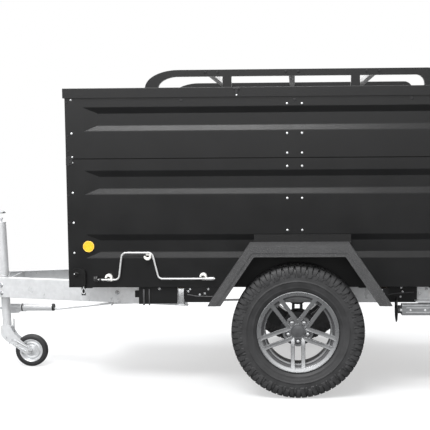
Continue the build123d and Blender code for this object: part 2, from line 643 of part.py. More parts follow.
arm_run = (AXLE_AHEAD**2 + (Z_AXLE_TUBE - TYRE_RADIUS) ** 2) ** 0.5
arm_angle = degrees(atan2(TYRE_RADIUS - Z_AXLE_TUBE, AXLE_AHEAD))
with BuildPart() as knuckle:
    with BuildSketch(Plane.XZ.offset(ARM_INNER)):
        with Locations(Location(((X_AXLE + X_AXLE_TUBE) / 2, (TYRE_RADIUS + Z_AXLE_TUBE) / 2), arm_angle)):
            SlotCenterToCenter(arm_run, 84)
    extrude(amount=ARM_WALL)
    rod(X_AXLE, -ARM_INNER - ARM_WALL + 1, -BACKPLATE_Y - 1, TYRE_RADIUS, 36)
    rod(X_AXLE, -BACKPLATE_Y, -BACKPLATE_Y - BACKPLATE_WALL, TYRE_RADIUS, BACKPLATE_RADIUS)
    rod(X_AXLE, -BACKPLATE_Y, -HUB_FACE, TYRE_RADIUS, STUB_RADIUS)
    rod(X_AXLE_TUBE, -ARM_INNER + 40, -ARM_INNER, Z_AXLE_TUBE, AXLE_TUBE / 2 - 8)
save_pair(knuckle.part, "knuckle")

with BuildPart() as brake_drum:
    rod(X_AXLE, -DRUM_Y, -DRUM_Y - DRUM_DEPTH, TYRE_RADIUS, DRUM_RADIUS)
    rod(X_AXLE, -DRUM_Y - DRUM_DEPTH, -HUB_FACE, TYRE_RADIUS, DRUM_HAT)
    rod(X_AXLE, -HUB_FACE, -HUB_FACE - 24, TYRE_RADIUS, 33)
    rod(X_AXLE, -DRUM_Y, -HUB_FACE, TYRE_RADIUS, STUB_RADIUS + PIN_GAP, mode=Mode.SUBTRACT)
    rod(X_AXLE, -DRUM_Y, -DRUM_Y - DRUM_DEPTH + 12, TYRE_RADIUS, DRUM_RADIUS - 12, mode=Mode.SUBTRACT)
    rod(X_AXLE, -DRUM_Y, -DRUM_Y - DRUM_DEPTH + 12, TYRE_RADIUS, 34)
    rod(X_AXLE, -DRUM_Y, -HUB_FACE, TYRE_RADIUS, STUB_RADIUS + PIN_GAP, mode=Mode.SUBTRACT)
save_pair(brake_drum.part, "brake_drum")


def wheel_plane(distance):
    """A plane across the left wheel's axle, facing outwards, its middle on the axle."""
    return Plane(origin=(X_AXLE, -distance, TYRE_RADIUS), x_dir=(1, 0, 0), z_dir=(0, -1, 0))


# The tyre and rim are revolved about the wheel's own axle.
wheel_axis = Axis((X_AXLE, 0, TYRE_RADIUS), (0, 1, 0))
section_plane = Plane(origin=(X_AXLE, 0, TYRE_RADIUS), x_dir=(0, -1, 0), z_dir=(1, 0, 0))
TREAD_HALF = 86.0
TYRE_WALL = 14.0
TYRE_CROWN = 4.5
RIM_HORN = 12.0
half_tyre = TYRE_WIDTH / 2
half_rim = RIM_WIDTH / 2
with BuildPart() as tyre:
    with BuildSketch(section_plane):
        for inset, direction in ((0, Mode.ADD), (TYRE_WALL, Mode.SUBTRACT)):
            with BuildLine():
                bead_half = half_rim - RIM_HORN - inset
                side_half = half_tyre - inset
                tread_half = TREAD_HALF - inset * 0.6
                horn = RIM_FLANGE_RADIUS + 4
                for hand in (-1, 1):
                    bead_point = (Y_TYRE + hand * bead_half, RIM_SEAT_RADIUS)
                    horn_point = (Y_TYRE + hand * (bead_half + 3), horn)
                    side_point = (Y_TYRE + hand * side_half, (RIM_FLANGE_RADIUS + TYRE_RADIUS - 4) / 2)
                    shoulder = (Y_TYRE + hand * tread_half, TYRE_RADIUS - TYRE_CROWN - inset)
                    Line(bead_point, horn_point)
                    ThreePointArc(horn_point, side_point, shoulder)
                ThreePointArc(
                    (Y_TYRE - tread_half, TYRE_RADIUS - TYRE_CROWN - inset),
                    (Y_TYRE, TYRE_RADIUS - inset),
                    (Y_TYRE + tread_half, TYRE_RADIUS - TYRE_CROWN - inset),
                )
                Line((Y_TYRE - bead_half, RIM_SEAT_RADIUS), (Y_TYRE + bead_half, RIM_SEAT_RADIUS))
            make_face(mode=direction)
    revolve(axis=wheel_axis)
save_pair(tyre.part, "tyre")

# Alloy rim: a deep barrel with a flat outer lip and five pairs of parallel spokes.
DROP_RADIUS = 176.0
LIP_INNER = 195.0
LIP_DEPTH = 12.0
HUB_DEPTH = 22.0
SPOKE_FACE = HUB_FACE + 34
HUB_RADIUS = 62.0
CAP_RADIUS = 37.0
CAP_HEIGHT = 6.0
BOLT_POCKET = 14.0
BOLT_RADIUS = 10.0
SPOKE_WIDTH = 23.0
SPOKE_SPACING = 56.0
SPOKE_DEPTH = 24.0
lip_y = Y_TYRE + half_rim
with BuildPart() as spoke_pair:
    for hand in (-1, 1):
        spoke_side = Plane(
            origin=(X_AXLE + hand * SPOKE_SPACING / 2 - SPOKE_WIDTH / 2, 0, TYRE_RADIUS),
            x_dir=(0, -1, 0),
            z_dir=(1, 0, 0),
        )
        with BuildSketch(spoke_side):
            with BuildLine():
                Polyline(
                    (SPOKE_FACE - SPOKE_DEPTH - 4, -30),
                    (SPOKE_FACE, -48),
                    (SPOKE_FACE + 1, -80),
                    (lip_y - 3, -LIP_INNER - 8),
                    (lip_y - LIP_DEPTH - 4, -LIP_INNER + 3),
                    (lip_y - SPOKE_DEPTH, -LIP_INNER + 5),
                    (SPOKE_FACE - SPOKE_DEPTH, -80),
                    close=True,
                )
            make_face()
        extrude(amount=SPOKE_WIDTH)
    with BuildSketch(wheel_plane(HUB_FACE)):
        with Locations((0, -BOLT_CIRCLE / 4 - 10)):
            Rectangle(SPOKE_SPACING, BOLT_CIRCLE / 2 + 20)
    extrude(amount=HUB_DEPTH)
with BuildPart() as rim:
    with BuildSketch(section_plane):
        with BuildLine():
            Polyline(
                (Y_TYRE - half_rim, RIM_FLANGE_RADIUS),
                (Y_TYRE - half_rim + RIM_WALL, RIM_FLANGE_RADIUS),
                (Y_TYRE - half_rim + RIM_HORN, RIM_SEAT_RADIUS),
                (Y_TYRE - 40, RIM_SEAT_RADIUS),
                (Y_TYRE - 26, DROP_RADIUS + RIM_WALL),
                (Y_TYRE + 26, DROP_RADIUS + RIM_WALL),
                (Y_TYRE + 40, RIM_SEAT_RADIUS),
                (lip_y - RIM_HORN, RIM_SEAT_RADIUS),
                (lip_y - RIM_WALL, RIM_FLANGE_RADIUS),
                (lip_y, RIM_FLANGE_RADIUS),
                (lip_y, RIM_FLANGE_RADIUS - 4),
                (lip_y - 5, RIM_FLANGE_RADIUS - 7),
                (lip_y - LIP_DEPTH + 5, LIP_INNER),
                (lip_y - LIP_DEPTH - 8, LIP_INNER),
                (lip_y - LIP_DEPTH - 8, LIP_INNER - 8),
                (Y_TYRE + 36, DROP_RADIUS + 8),
                (Y_TYRE + 28, DROP_RADIUS),
                (Y_TYRE - 30, DROP_RADIUS),
                (Y_TYRE - 44, RIM_SEAT_RADIUS - RIM_WALL),
                (Y_TYRE - half_rim + 8, RIM_SEAT_RADIUS - RIM_WALL),
                (Y_TYRE - half_rim, RIM_FLANGE_RADIUS - 10),
                close=True,
            )
        make_face()
    revolve(axis=wheel_axis)
    with BuildSketch(wheel_plane(HUB_FACE)):
        Circle(HUB_RADIUS)
    extrude(amount=HUB_DEPTH)
    for arm in range(WHEEL_BOLTS):
        add(spoke_pair.part.rotate(wheel_axis, arm * 360 / WHEEL_BOLTS))
    with BuildSketch(wheel_plane(HUB_FACE)):
        Circle(CAP_RADIUS)
    extrude(amount=SPOKE_FACE - HUB_FACE + CAP_HEIGHT)
    with BuildSketch(wheel_plane(HUB_FACE - 1)):
        Circle(34)
    extrude(amount=26, mode=Mode.SUBTRACT)
    with BuildSketch(wheel_plane(HUB_FACE + 8)):
        with PolarLocations(BOLT_CIRCLE / 2, WHEEL_BOLTS, start_angle=-90):
            Circle(BOLT_POCKET)
    extrude(amount=60, mode=Mode.SUBTRACT)
    with BuildSketch(wheel_plane(HUB_FACE)):
        with PolarLocations(BOLT_CIRCLE / 2, WHEEL_BOLTS, start_angle=-90):
            Circle(BOLT_RADIUS)
    extrude(amount=20)
save_pair(rim.part, "rim")

# ---------------------------------------------------------------- mudguards
X_GUARD = X_AXLE + MUDGUARD_CENTRE


def guard_outline(inset):
    """Front view corners of the mudguard's arch, moved inwards by the inset."""
    lean = atan2(MUDGUARD_TOP - MUDGUARD_FOOT, MUDGUARD_FOOT_HALF - MUDGUARD_TOP_HALF)
    top_half = MUDGUARD_TOP_HALF - inset * tan(lean / 2)
    foot_half = MUDGUARD_FOOT_HALF - inset / sin(lean)
    return [
        (X_GUARD - foot_half, MUDGUARD_FOOT),
        (X_GUARD - top_half, MUDGUARD_TOP - inset),
        (X_GUARD + top_half, MUDGUARD_TOP - inset),
        (X_GUARD + foot_half, MUDGUARD_FOOT),
    ]


def guard_strip(outer, inner, y_from, width):
    """A folded strip that follows the arch between two insets."""
    with BuildSketch(Plane.XZ.offset(y_from)) as strip:
        with BuildLine():
            Polyline(*guard_outline(outer), *reversed(guard_outline(inner)), close=True)
        make_face()
    extrude(strip.sketch, amount=width)


with BuildPart() as mudguard:
    guard_strip(0, MUDGUARD_SHEET, HALF_BOX, MUDGUARD_WIDTH)
    guard_strip(0, MUDGUARD_SIDE, HALF_BOX + MUDGUARD_WIDTH - MUDGUARD_SHEET, MUDGUARD_SHEET)
    guard_strip(MUDGUARD_SIDE - 3, MUDGUARD_SIDE + MUDGUARD_LIP,
                HALF_BOX + MUDGUARD_WIDTH - 2 * MUDGUARD_SHEET, MUDGUARD_SHEET)
    block(X_GUARD - MUDGUARD_TOP_HALF + 22, X_GUARD + MUDGUARD_TOP_HALF + 12,
          -HALF_BOX - MUDGUARD_SHEET, -HALF_BOX, MUDGUARD_TOP - MUDGUARD_SHEET, MUDGUARD_TOP + 42)
save_pair(mudguard.part, "mudguard")

# ---------------------------------------------------------------- box walls
def recess(face_plane, length):
    """A long pressed recess with sloping edges and drawn-out ends, cut into the face of a board."""
    with BuildSketch(face_plane) as mouth:
        Rectangle(length, RECESS_HEIGHT)
    with BuildSketch(face_plane.offset(RECESS_DEPTH)) as floor:
        Rectangle(length - 2 * RECESS_RUNOUT, RECESS_HEIGHT - 2 * RECESS_SLOPE)
    loft([mouth.sketch.face(), floor.sketch.face()], ruled=True, mode=Mode.SUBTRACT)


def soften(board, axis, outer, floor):
    """Round the mouths and floors of the recesses in a board's face."""
    def along(shape):
        centre = shape.center()
        return centre.X if axis == Axis.X else centre.Y

    faces = board.faces().filter_by(axis)
    face = faces.filter_by(lambda f: abs(along(f) - outer) < 0.01).sort_by(SortBy.AREA)[-1]
    edges = ShapeList()
    for wire in face.inner_wires():
        edges += wire.edges()
    for sunk in faces.filter_by(lambda f: abs(along(f) - floor) < 0.01):
        edges += sunk.edges()
    fillet(edges, radius=RECESS_SOFT)


def side_face(z):
    """A plane on the left side's outer face, facing into the wall."""
    return Plane(origin=(X_MIDDLE, -HALF_BOX, z), x_dir=(1, 0, 0), z_dir=(0, 1, 0))


def front_face(z):
    """A plane on the front wall's outer face, facing into the wall."""
    return Plane(origin=(X_FRONT, 0, z), x_dir=(0, 1, 0), z_dir=(1, 0, 0))


def rear_face(z):
    """A plane on the rear wall's outer face, facing into the wall."""
    return Plane(origin=(X_REAR, 0, z), x_dir=(0, -1, 0), z_dir=(-1, 0, 0))


SIDE_RECESS = BOX_LENGTH - 2 * RECESS_FROM_END
END_RECESS = 2 * HALF_INSIDE - 2 * RECESS_FROM_END
RECESS_MIDDLE = RECESS_HEIGHT / 2
LOWER_RECESSES = (BOX_BOTTOM + RECESS_LOW + RECESS_MIDDLE,
                  BOX_BOTTOM + RECESS_LOW + RECESS_PITCH + RECESS_MIDDLE)
UPPER_RECESS_Z = Z_SEAM + UPPER_RECESS + RECESS_MIDDLE
EDGE_BREAK = 2.5

with BuildPart() as side_board_lower:
    block(X_FRONT, X_REAR, -HALF_BOX, -HALF_INSIDE, BOX_BOTTOM, Z_SEAM)
    for height in LOWER_RECESSES:
        recess(side_face(height), SIDE_RECESS)
    soften(side_board_lower, Axis.Y, -HALF_BOX, -HALF_BOX + RECESS_DEPTH)
    fillet(side_board_lower.faces().sort_by(Axis.Y)[0].outer_wire().edges(), radius=EDGE_BREAK)
save_pair(side_board_lower.part, "side_board_lower")

with BuildPart() as side_board_upper:
    block(X_FRONT, X_REAR, -HALF_BOX, -HALF_INSIDE, Z_SEAM, Z_BOARD_TOP)
    recess(side_face(UPPER_RECESS_Z), SIDE_RECESS)
    soften(side_board_upper, Axis.Y, -HALF_BOX, -HALF_BOX + RECESS_DEPTH)
    fillet(side_board_upper.faces().sort_by(Axis.Y)[0].outer_wire().edges(), radius=EDGE_BREAK)
save_pair(side_board_upper.part, "side_board_upper")

with BuildPart() as front_board_lower:
    block(X_FRONT, X_FRONT + WALL, -HALF_INSIDE, HALF_INSIDE, BOX_BOTTOM, Z_SEAM)
    for height in LOWER_RECESSES:
        recess(front_face(height), END_RECESS)
    soften(front_board_lower, Axis.X, X_FRONT, X_FRONT + RECESS_DEPTH)
save(front_board_lower.part, "front_board_lower")

# Lid hinges: knuckles under the front edge of the lid, inside its overhang.
HINGE_RADIUS = 4.6
X_LID_HINGE = X_FRONT - LID_OVERHANG / 2
Z_LID_HINGE = Z_LID_EDGE - HINGE_RADIUS - 0.4
HINGE_FROM_SIDE = 201.0
LID_HINGE_Y = (-HALF_BOX + HINGE_FROM_SIDE, 0.0, HALF_BOX - HINGE_FROM_SIDE)
KNUCKLE = 30.0
LEAF = 2.5
with BuildPart() as front_board_upper:
    block(X_FRONT, X_FRONT + WALL, -HALF_INSIDE, HALF_INSIDE, Z_SEAM, Z_BOARD_TOP)
    recess(front_face(UPPER_RECESS_Z), END_RECESS)
    soften(front_board_upper, Axis.X, X_FRONT, X_FRONT + RECESS_DEPTH)
    for y_hinge in LID_HINGE_Y:
        for offset_y in (-KNUCKLE - 1, KNUCKLE + 1):
            rod(X_LID_HINGE, y_hinge + offset_y - KNUCKLE / 2, y_hinge + offset_y + KNUCKLE / 2,
                Z_LID_HINGE, HINGE_RADIUS)
            block(X_FRONT - LEAF, X_FRONT, y_hinge + offset_y - KNUCKLE / 2,
                  y_hinge + offset_y + KNUCKLE / 2, Z_LID_HINGE - 40, Z_LID_HINGE)
        rod(X_LID_HINGE, y_hinge - 1.5 * KNUCKLE, y_hinge + 1.5 * KNUCKLE, Z_LID_HINGE, 2)
save(front_board_upper.part, "front_board_upper")

# Rear frame: the two corner posts and the fixed upper board between them.
with BuildPart() as rear_frame:
    for side in (-1, 1):
        block(X_POST, X_REAR, side * (HALF_INSIDE - POST_WIDTH), side * HALF_INSIDE, Z_BEARER, Z_BOARD_TOP)
    block(X_REAR - WALL, X_REAR, -HALF_INSIDE, HALF_INSIDE, Z_SEAM, Z_BOARD_TOP)
    recess(rear_face(UPPER_RECESS_Z), END_RECESS - 60)
save(rear_frame.part, "rear_frame")

GATE_HALF = HALF_INSIDE - POST_WIDTH - MOVING_GAP
Z_GATE_LOW = Z_FLOOR_UNDER + 8
Z_GATE_HIGH = Z_SEAM - MOVING_GAP
X_GATE_HINGE = X_REAR + 7
Z_GATE_HINGE = Z_GATE_LOW - 2
GATE_HINGE_RADIUS = 6.0
GATE_HINGE_Y = (30 - HALF_BOX + HINGE_FROM_SIDE, 0.0, HALF_BOX - HINGE_FROM_SIDE - 30)
with BuildPart() as rear_sill:
    block(X_POST, X_REAR, -HALF_INSIDE + POST_WIDTH, HALF_INSIDE - POST_WIDTH, Z_BEARER, Z_FLOOR_UNDER)
    block(X_POST, X_REAR - WALL - MOVING_GAP, -HALF_INSIDE + POST_WIDTH, HALF_INSIDE - POST_WIDTH,
          Z_FLOOR_UNDER, Z_FLOOR_TOP)
    for y_hinge in GATE_HINGE_Y:
        for offset_y in (-KNUCKLE - 1, KNUCKLE + 1):
            rod(X_GATE_HINGE, y_hinge + offset_y - KNUCKLE / 2, y_hinge + offset_y + KNUCKLE / 2,
                Z_GATE_HINGE, GATE_HINGE_RADIUS)
            block(X_REAR, X_GATE_HINGE + 1, y_hinge + offset_y - KNUCKLE / 2,
                  y_hinge + offset_y + KNUCKLE / 2, Z_BEARER, Z_GATE_HINGE - 3)
        rod(X_GATE_HINGE, y_hinge - 1.5 * KNUCKLE, y_hinge + 1.5 * KNUCKLE, Z_GATE_HINGE, 3)
save(rear_sill.part, "rear_sill")

# Tailgate, hinged at its lower edge, with a lever latch at each side.
with BuildPart() as tailgate:
    block(X_REAR - WALL, X_REAR, -GATE_HALF, GATE_HALF, Z_GATE_LOW, Z_GATE_HIGH)
    for height in LOWER_RECESSES:
        recess(rear_face(height), END_RECESS - 60)
    for y_hinge in GATE_HINGE_Y:
        rod(X_GATE_HINGE, y_hinge - KNUCKLE / 2 + 1, y_hinge + KNUCKLE / 2 - 1, Z_GATE_HINGE,
            GATE_HINGE_RADIUS)
        block(X_REAR - 1, X_GATE_HINGE + 2, y_hinge - KNUCKLE / 2 + 1, y_hinge + KNUCKLE / 2 - 1,
              Z_GATE_HINGE + 3, Z_GATE_HINGE + 42)
        rod(X_GATE_HINGE, y_hinge - KNUCKLE / 2, y_hinge + KNUCKLE / 2, Z_GATE_HINGE, 3 + PIN_GAP,
            mode=Mode.SUBTRACT)
save(tailgate.part, "tailgate")

LATCH_DEPTH = 16.0
with BuildPart() as tailgate_latches:
    for side in (-1, 1):
        y_latch = side * (GATE_HALF - 34)
        block(X_REAR, X_REAR + 5, y_latch - 20, y_latch + 20, Z_GATE_HIGH - 150, Z_GATE_HIGH - 14)
        block(X_REAR + 5, X_REAR + LATCH_DEPTH, y_latch - 9, y_latch + 9,
              Z_GATE_HIGH - 140, Z_GATE_HIGH - 26)
save(tailgate_latches.part, "tailgate_latches")

# ---------------------------------------------------------------- lid and roof rack
LID_FRAME = 60.0
LID_RIB = 50.0
LID_PANEL = 10.0
CROSSBAR_X = (X_AXLE - 469, X_AXLE - 28, X_AXLE + 413)
with BuildPart() as lid:
    block(X_FRONT - LID_OVERHANG, X_REAR + LID_OVERHANG, -HALF_LID, HALF_LID, Z_LID_EDGE, Z_LID_TOP)
    fillet(lid.edges().filter_by(Axis.Z), radius=6)
    fillet(lid.faces().sort_by(Axis.Z)[-1].edges(), radius=3)
    inner = LID_OVERHANG - LID_SHEET
    block(X_FRONT - inner, X_REAR + inner, -HALF_BOX - inner, HALF_BOX + inner,
          Z_LID_EDGE - 1, Z_LID_UNDER, mode=Mode.SUBTRACT)
    ribs = [X_FRONT + LID_FRAME]
    for x_bar in CROSSBAR_X:
        ribs += [x_bar - LID_RIB / 2, x_bar + LID_RIB / 2]
    ribs.append(X_REAR - LID_FRAME)
    for x_start, x_stop in zip(ribs[::2], ribs[1::2]):
        block(x_start, x_stop, -HALF_BOX + LID_FRAME, HALF_BOX - LID_FRAME, Z_LID_UNDER - 1,
              Z_LID_TOP - LID_PANEL, mode=Mode.SUBTRACT)
    for y_hinge in LID_HINGE_Y:
        rod(X_LID_HINGE, y_hinge - KNUCKLE / 2 + 1, y_hinge + KNUCKLE / 2 - 1, Z_LID_HINGE,
            HINGE_RADIUS)
        block(X_FRONT - LID_OVERHANG, X_FRONT - LID_OVERHANG + LID_SHEET,
              y_hinge - KNUCKLE / 2 + 1, y_hinge + KNUCKLE / 2 - 1, Z_LID_HINGE, Z_LID_EDGE + 1)
        rod(X_LID_HINGE, y_hinge - KNUCKLE / 2, y_hinge + KNUCKLE / 2, Z_LID_HINGE, 2 + PIN_GAP,
            mode=Mode.SUBTRACT)
save(lid.part, "lid")

X_FOOT_FRONT = X_AXLE - 835
FRONT_SWEEP = 183.0
FRONT_FOOT = 72.0
X_POSTS = (X_AXLE - 407, X_AXLE + 294)
RACK_POST = 49.0
X_FOOT_REAR = X_AXLE + 766
REAR_FOOT = 73.0
REAR_OUTER = 55.0
REAR_INNER = 46.0
Z_BAR_UNDER = Z_RACK_TOP - RACK_BAR
inner_height = RACK_HEIGHT - RACK_BAR
with BuildPart() as rack_rail:
    with BuildSketch(Plane.XZ.offset(RAIL_OUTER - RAIL_THICKNESS)):
        with BuildLine():
            centre = (X_FOOT_FRONT + FRONT_SWEEP, Z_LID_TOP)
            EllipticalCenterArc(centre, FRONT_SWEEP, RACK_HEIGHT, start_angle=90, arc_size=90)
            Line((centre[0], Z_RACK_TOP), (X_FOOT_REAR - REAR_OUTER, Z_RACK_TOP))
            RadiusArc((X_FOOT_REAR - REAR_OUTER, Z_RACK_TOP), (X_FOOT_REAR, Z_RACK_TOP - REAR_OUTER),
                      REAR_OUTER)
            Polyline((X_FOOT_REAR, Z_RACK_TOP - REAR_OUTER), (X_FOOT_REAR, Z_LID_TOP),
                     (X_FOOT_FRONT, Z_LID_TOP))
        make_face()
        with BuildLine():
            sweep_inner = FRONT_SWEEP - FRONT_FOOT
            EllipticalCenterArc(centre, sweep_inner, inner_height, start_angle=90, arc_size=90)
            Polyline((centre[0], Z_BAR_UNDER), (X_POSTS[0], Z_BAR_UNDER), (X_POSTS[0], Z_LID_TOP),
                     (centre[0] - sweep_inner, Z_LID_TOP))
        make_face(mode=Mode.SUBTRACT)
        with Locations(((X_POSTS[0] + RACK_POST + X_POSTS[1]) / 2, Z_LID_TOP + inner_height / 2)):
            Rectangle(X_POSTS[1] - X_POSTS[0] - RACK_POST, inner_height, mode=Mode.SUBTRACT)
        with BuildLine():
            x_window = X_POSTS[1] + RACK_POST
            x_end = X_FOOT_REAR - REAR_FOOT
            Polyline((x_end, Z_BAR_UNDER - REAR_INNER), (x_end, Z_LID_TOP), (x_window, Z_LID_TOP),
                     (x_window, Z_BAR_UNDER), (x_end - REAR_INNER, Z_BAR_UNDER))
            RadiusArc((x_end - REAR_INNER, Z_BAR_UNDER), (x_end, Z_BAR_UNDER - REAR_INNER), REAR_INNER)
        make_face(mode=Mode.SUBTRACT)
    extrude(amount=RAIL_THICKNESS)
save_pair(rack_rail.part, "rack_rail")

CROSSBAR_WIDTH = 33.0
CROSSBAR_HEIGHT = 26.0
Z_CROSSBAR = Z_BAR_UNDER + 1
HALF_CROSSBAR = RAIL_OUTER - RAIL_THICKNESS
with BuildPart() as rack_crossbars:
    for x_bar in CROSSBAR_X:
        block(x_bar - CROSSBAR_WIDTH / 2, x_bar + CROSSBAR_WIDTH / 2, -HALF_CROSSBAR, HALF_CROSSBAR,
              Z_CROSSBAR, Z_CROSSBAR + CROSSBAR_HEIGHT)
        for side in (-1, 1):
            block(x_bar - 45, x_bar + 45, side * (HALF_CROSSBAR - 5), side * HALF_CROSSBAR,
                  Z_CROSSBAR, Z_RACK_TOP - 4)
save(rack_crossbars.part, "rack_crossbars")

# ---------------------------------------------------------------- rear lights
X_LIGHT_BAR = X_REAR - LIGHT_BAR_WALL
Z_LIGHT_BAR = 462.0
LAMP_LOW = 474.0
LAMP_HIGH = 548.0
LAMP_LENGTH = 221.0
with BuildPart() as light_bar:
    block(X_LIGHT_BAR, X_REAR, -HALF_BOX + 8, HALF_BOX - 8, Z_LIGHT_BAR, Z_BEARER)
save(light_bar.part, "light_bar")

with BuildPart() as tail_lamps:
    for side in (-1, 1):
        block(X_REAR, X_REAR + TAIL_OVERHANG, side * (HALF_BOX - LAMP_LENGTH), side * (HALF_BOX - 14), LAMP_LOW, LAMP_HIGH)
    fillet(tail_lamps.edges().filter_by(Axis.X), radius=12)
save(tail_lamps.part, "tail_lamps")

PLATE_LENGTH = 530.0
PLATE_HEIGHT = 118.0
Z_PLATE = Z_LIGHT_BAR - 56
with BuildPart() as number_plate_holder:
    block(X_REAR, X_REAR + 6, -PLATE_LENGTH / 2, PLATE_LENGTH / 2, Z_PLATE, Z_PLATE + PLATE_HEIGHT)
    block(X_REAR, X_REAR + 26, -45, 45, Z_PLATE + PLATE_HEIGHT, Z_PLATE + PLATE_HEIGHT + 20)
save(number_plate_holder.part, "number_plate_holder")

# ---------------------------------------------------------------- small side fittings
REFLECTOR_RADIUS = 31.0
REFLECTOR_X = X_AXLE - 1156
REFLECTOR_Z = 800.0
with BuildPart() as side_reflectors:
    for side in (-1, 1):
        rod(REFLECTOR_X, side * HALF_BOX, side * (HALF_BOX + 8), REFLECTOR_Z, REFLECTOR_RADIUS)
save(side_reflectors.part, "side_reflectors")

# Rounded black corner fittings low on the front corners, each with a lashing hook below.
X_CORNER = X_AXLE - 1258
with BuildPart() as corner_fittings:
    for side in (-1, 1):
        block(X_CORNER, X_CORNER + 84, side * HALF_BOX, side * (HALF_BOX + 20), 577, 676)
    fillet(corner_fittings.edges().filter_by(Axis.Y), radius=20)
    for side in (-1, 1):
        block(X_CORNER + 58, X_CORNER + 80, side * (HALF_BOX + 2), side * (HALF_BOX + 8), 528, 580)
save(corner_fittings.part, "corner_fittings")

CRANK_ROD = 5.0
CRANK_Y = HALF_BOX + 17
X_CRANK = X_AXLE - 1106
with BuildPart() as crank_handle:
    with BuildLine(Plane.XZ.offset(CRANK_Y)):
        FilletPolyline(
            (X_CRANK, 616),
            (X_AXLE - 989, 616),
            (X_AXLE - 969, 766),
            (X_AXLE - 802, 766),
            (X_AXLE - 766, 621),
            (X_AXLE - 462, 621),
            radius=26,
        )
    with BuildSketch(Plane(origin=(X_CRANK, -CRANK_Y, 616), z_dir=(1, 0, 0))):
        Circle(CRANK_ROD)
    sweep()
    with Locations((X_CRANK - 10, -CRANK_Y, 622)):
        Cylinder(13, 22, rotation=(0, 90, 0))
    with Locations((X_AXLE - 484, -CRANK_Y, 621)):
        Cylinder(9, 46, rotation=(0, 90, 0))
save(crank_handle.part, "crank_handle")

CLIP_PLACES = ((X_AXLE - 1045, 616), (X_AXLE - 827, 757), (X_AXLE - 520, 621))
with BuildPart() as crank_clips:
    for x_clip, z_clip in CLIP_PLACES:
        block(x_clip - 20, x_clip + 20, -HALF_BOX - 6, -HALF_BOX, z_clip - 8, z_clip + 34)
        block(x_clip - 10, x_clip + 10, -CRANK_Y + CRANK_ROD, -HALF_BOX - 5, z_clip - 8, z_clip + 8)
save(crank_clips.part, "crank_clips")

# ---------------------------------------------------------------- rear steadies
X_STEADY_FRONT = X_STEADY - STEADY_REACH + 18
X_DISH = X_STEADY - STEADY_REACH - 13
with BuildPart() as steady_leg:
    block(X_STEADY_FRONT, X_STEADY + STEADY_TAIL, -STEADY_Y - STEADY_TUBE / 2,
          -STEADY_Y + STEADY_TUBE / 2, STEADY_Z - STEADY_TUBE / 2, STEADY_Z + STEADY_TUBE / 2)
    fillet(steady_leg.edges().filter_by(Axis.X), radius=6)
    block(X_STEADY_FRONT + 20, X_STEADY + STEADY_TAIL + 1, -STEADY_Y - STEADY_TUBE / 2 + 4,
          -STEADY_Y + STEADY_TUBE / 2 - 4, STEADY_Z - STEADY_TUBE / 2 + 4,
          STEADY_Z + STEADY_TUBE / 2 - 4, mode=Mode.SUBTRACT)
    rod(X_STEADY, -STEADY_Y, -STEADY_Y + STEADY_TUBE / 2, STEADY_Z, PIVOT_RADIUS + PIN_GAP,
        mode=Mode.SUBTRACT)
    block(X_DISH + DISH_DEPTH, X_STEADY_FRONT, -STEADY_Y - 18, -STEADY_Y + 18, STEADY_Z - 18, STEADY_Z + 18)
save_pair(steady_leg.part, "steady_leg")

with BuildPart() as steady_foot:
    with BuildSketch(Plane.XZ.offset(STEADY_Y)):
        with BuildLine():
            Polyline(
                (X_DISH + DISH_DEPTH, STEADY_Z),
                (X_DISH + DISH_DEPTH, STEADY_Z + 26),
                (X_DISH + 8, STEADY_Z + DISH_RADIUS - 8),
                (X_DISH + 3, STEADY_Z + DISH_RADIUS),
                (X_DISH, STEADY_Z + DISH_RADIUS),
                (X_DISH, STEADY_Z),
                close=True,
            )
        make_face()
    revolve(axis=Axis((0, -STEADY_Y, STEADY_Z), (1, 0, 0)))
save_pair(steady_foot.part, "steady_foot")
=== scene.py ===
"""Looks for the off-road box trailer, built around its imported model.  Metres, +Z up, drawbar to -X."""
import json
import math
import random

import bmesh
import bpy
from mathutils import Matrix, Vector


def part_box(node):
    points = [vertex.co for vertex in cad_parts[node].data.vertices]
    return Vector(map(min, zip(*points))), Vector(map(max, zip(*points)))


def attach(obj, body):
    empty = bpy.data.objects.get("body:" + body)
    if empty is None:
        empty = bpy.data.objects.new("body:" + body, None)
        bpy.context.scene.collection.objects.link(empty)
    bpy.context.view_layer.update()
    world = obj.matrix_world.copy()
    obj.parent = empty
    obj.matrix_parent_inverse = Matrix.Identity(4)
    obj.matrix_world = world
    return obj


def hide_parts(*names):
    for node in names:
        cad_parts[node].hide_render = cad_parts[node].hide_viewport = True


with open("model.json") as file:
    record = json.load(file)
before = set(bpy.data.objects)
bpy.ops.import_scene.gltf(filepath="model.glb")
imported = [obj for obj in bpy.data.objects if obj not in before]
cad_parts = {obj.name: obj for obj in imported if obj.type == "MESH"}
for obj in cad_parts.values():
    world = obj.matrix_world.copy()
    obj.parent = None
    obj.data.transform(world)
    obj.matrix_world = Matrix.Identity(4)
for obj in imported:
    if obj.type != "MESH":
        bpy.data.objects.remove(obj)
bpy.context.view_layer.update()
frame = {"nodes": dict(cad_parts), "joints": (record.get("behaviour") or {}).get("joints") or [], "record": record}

NODES = frame["nodes"]
JOINTS = {joint["name"]: joint for joint in frame["joints"]}
AXLE_X, WHEEL_Y, AXLE_Z = JOINTS["wheel_left_spin"]["pos_m"]
SIDES = (("left", -1), ("right", 1))
UP = Vector((0, 0, 1))
ALONG = Vector((1, 0, 0))
ACROSS = Vector((0, 1, 0))

side_low, side_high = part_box("side_board_lower_left")
BOX_FRONT, BOX_REAR = side_low[0], side_high[0]
SIDE_Y = -side_low[1]
SEAM_Z = side_high[2]
lid_low, lid_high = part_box("lid")
LID_SIDE = -lid_low[1]
LID_TOP = lid_high[2]


def mm(*lengths):
    """Millimetres to metres, one value or a tuple."""
    return lengths[0] / 1000 if len(lengths) == 1 else tuple(length / 1000 for length in lengths)


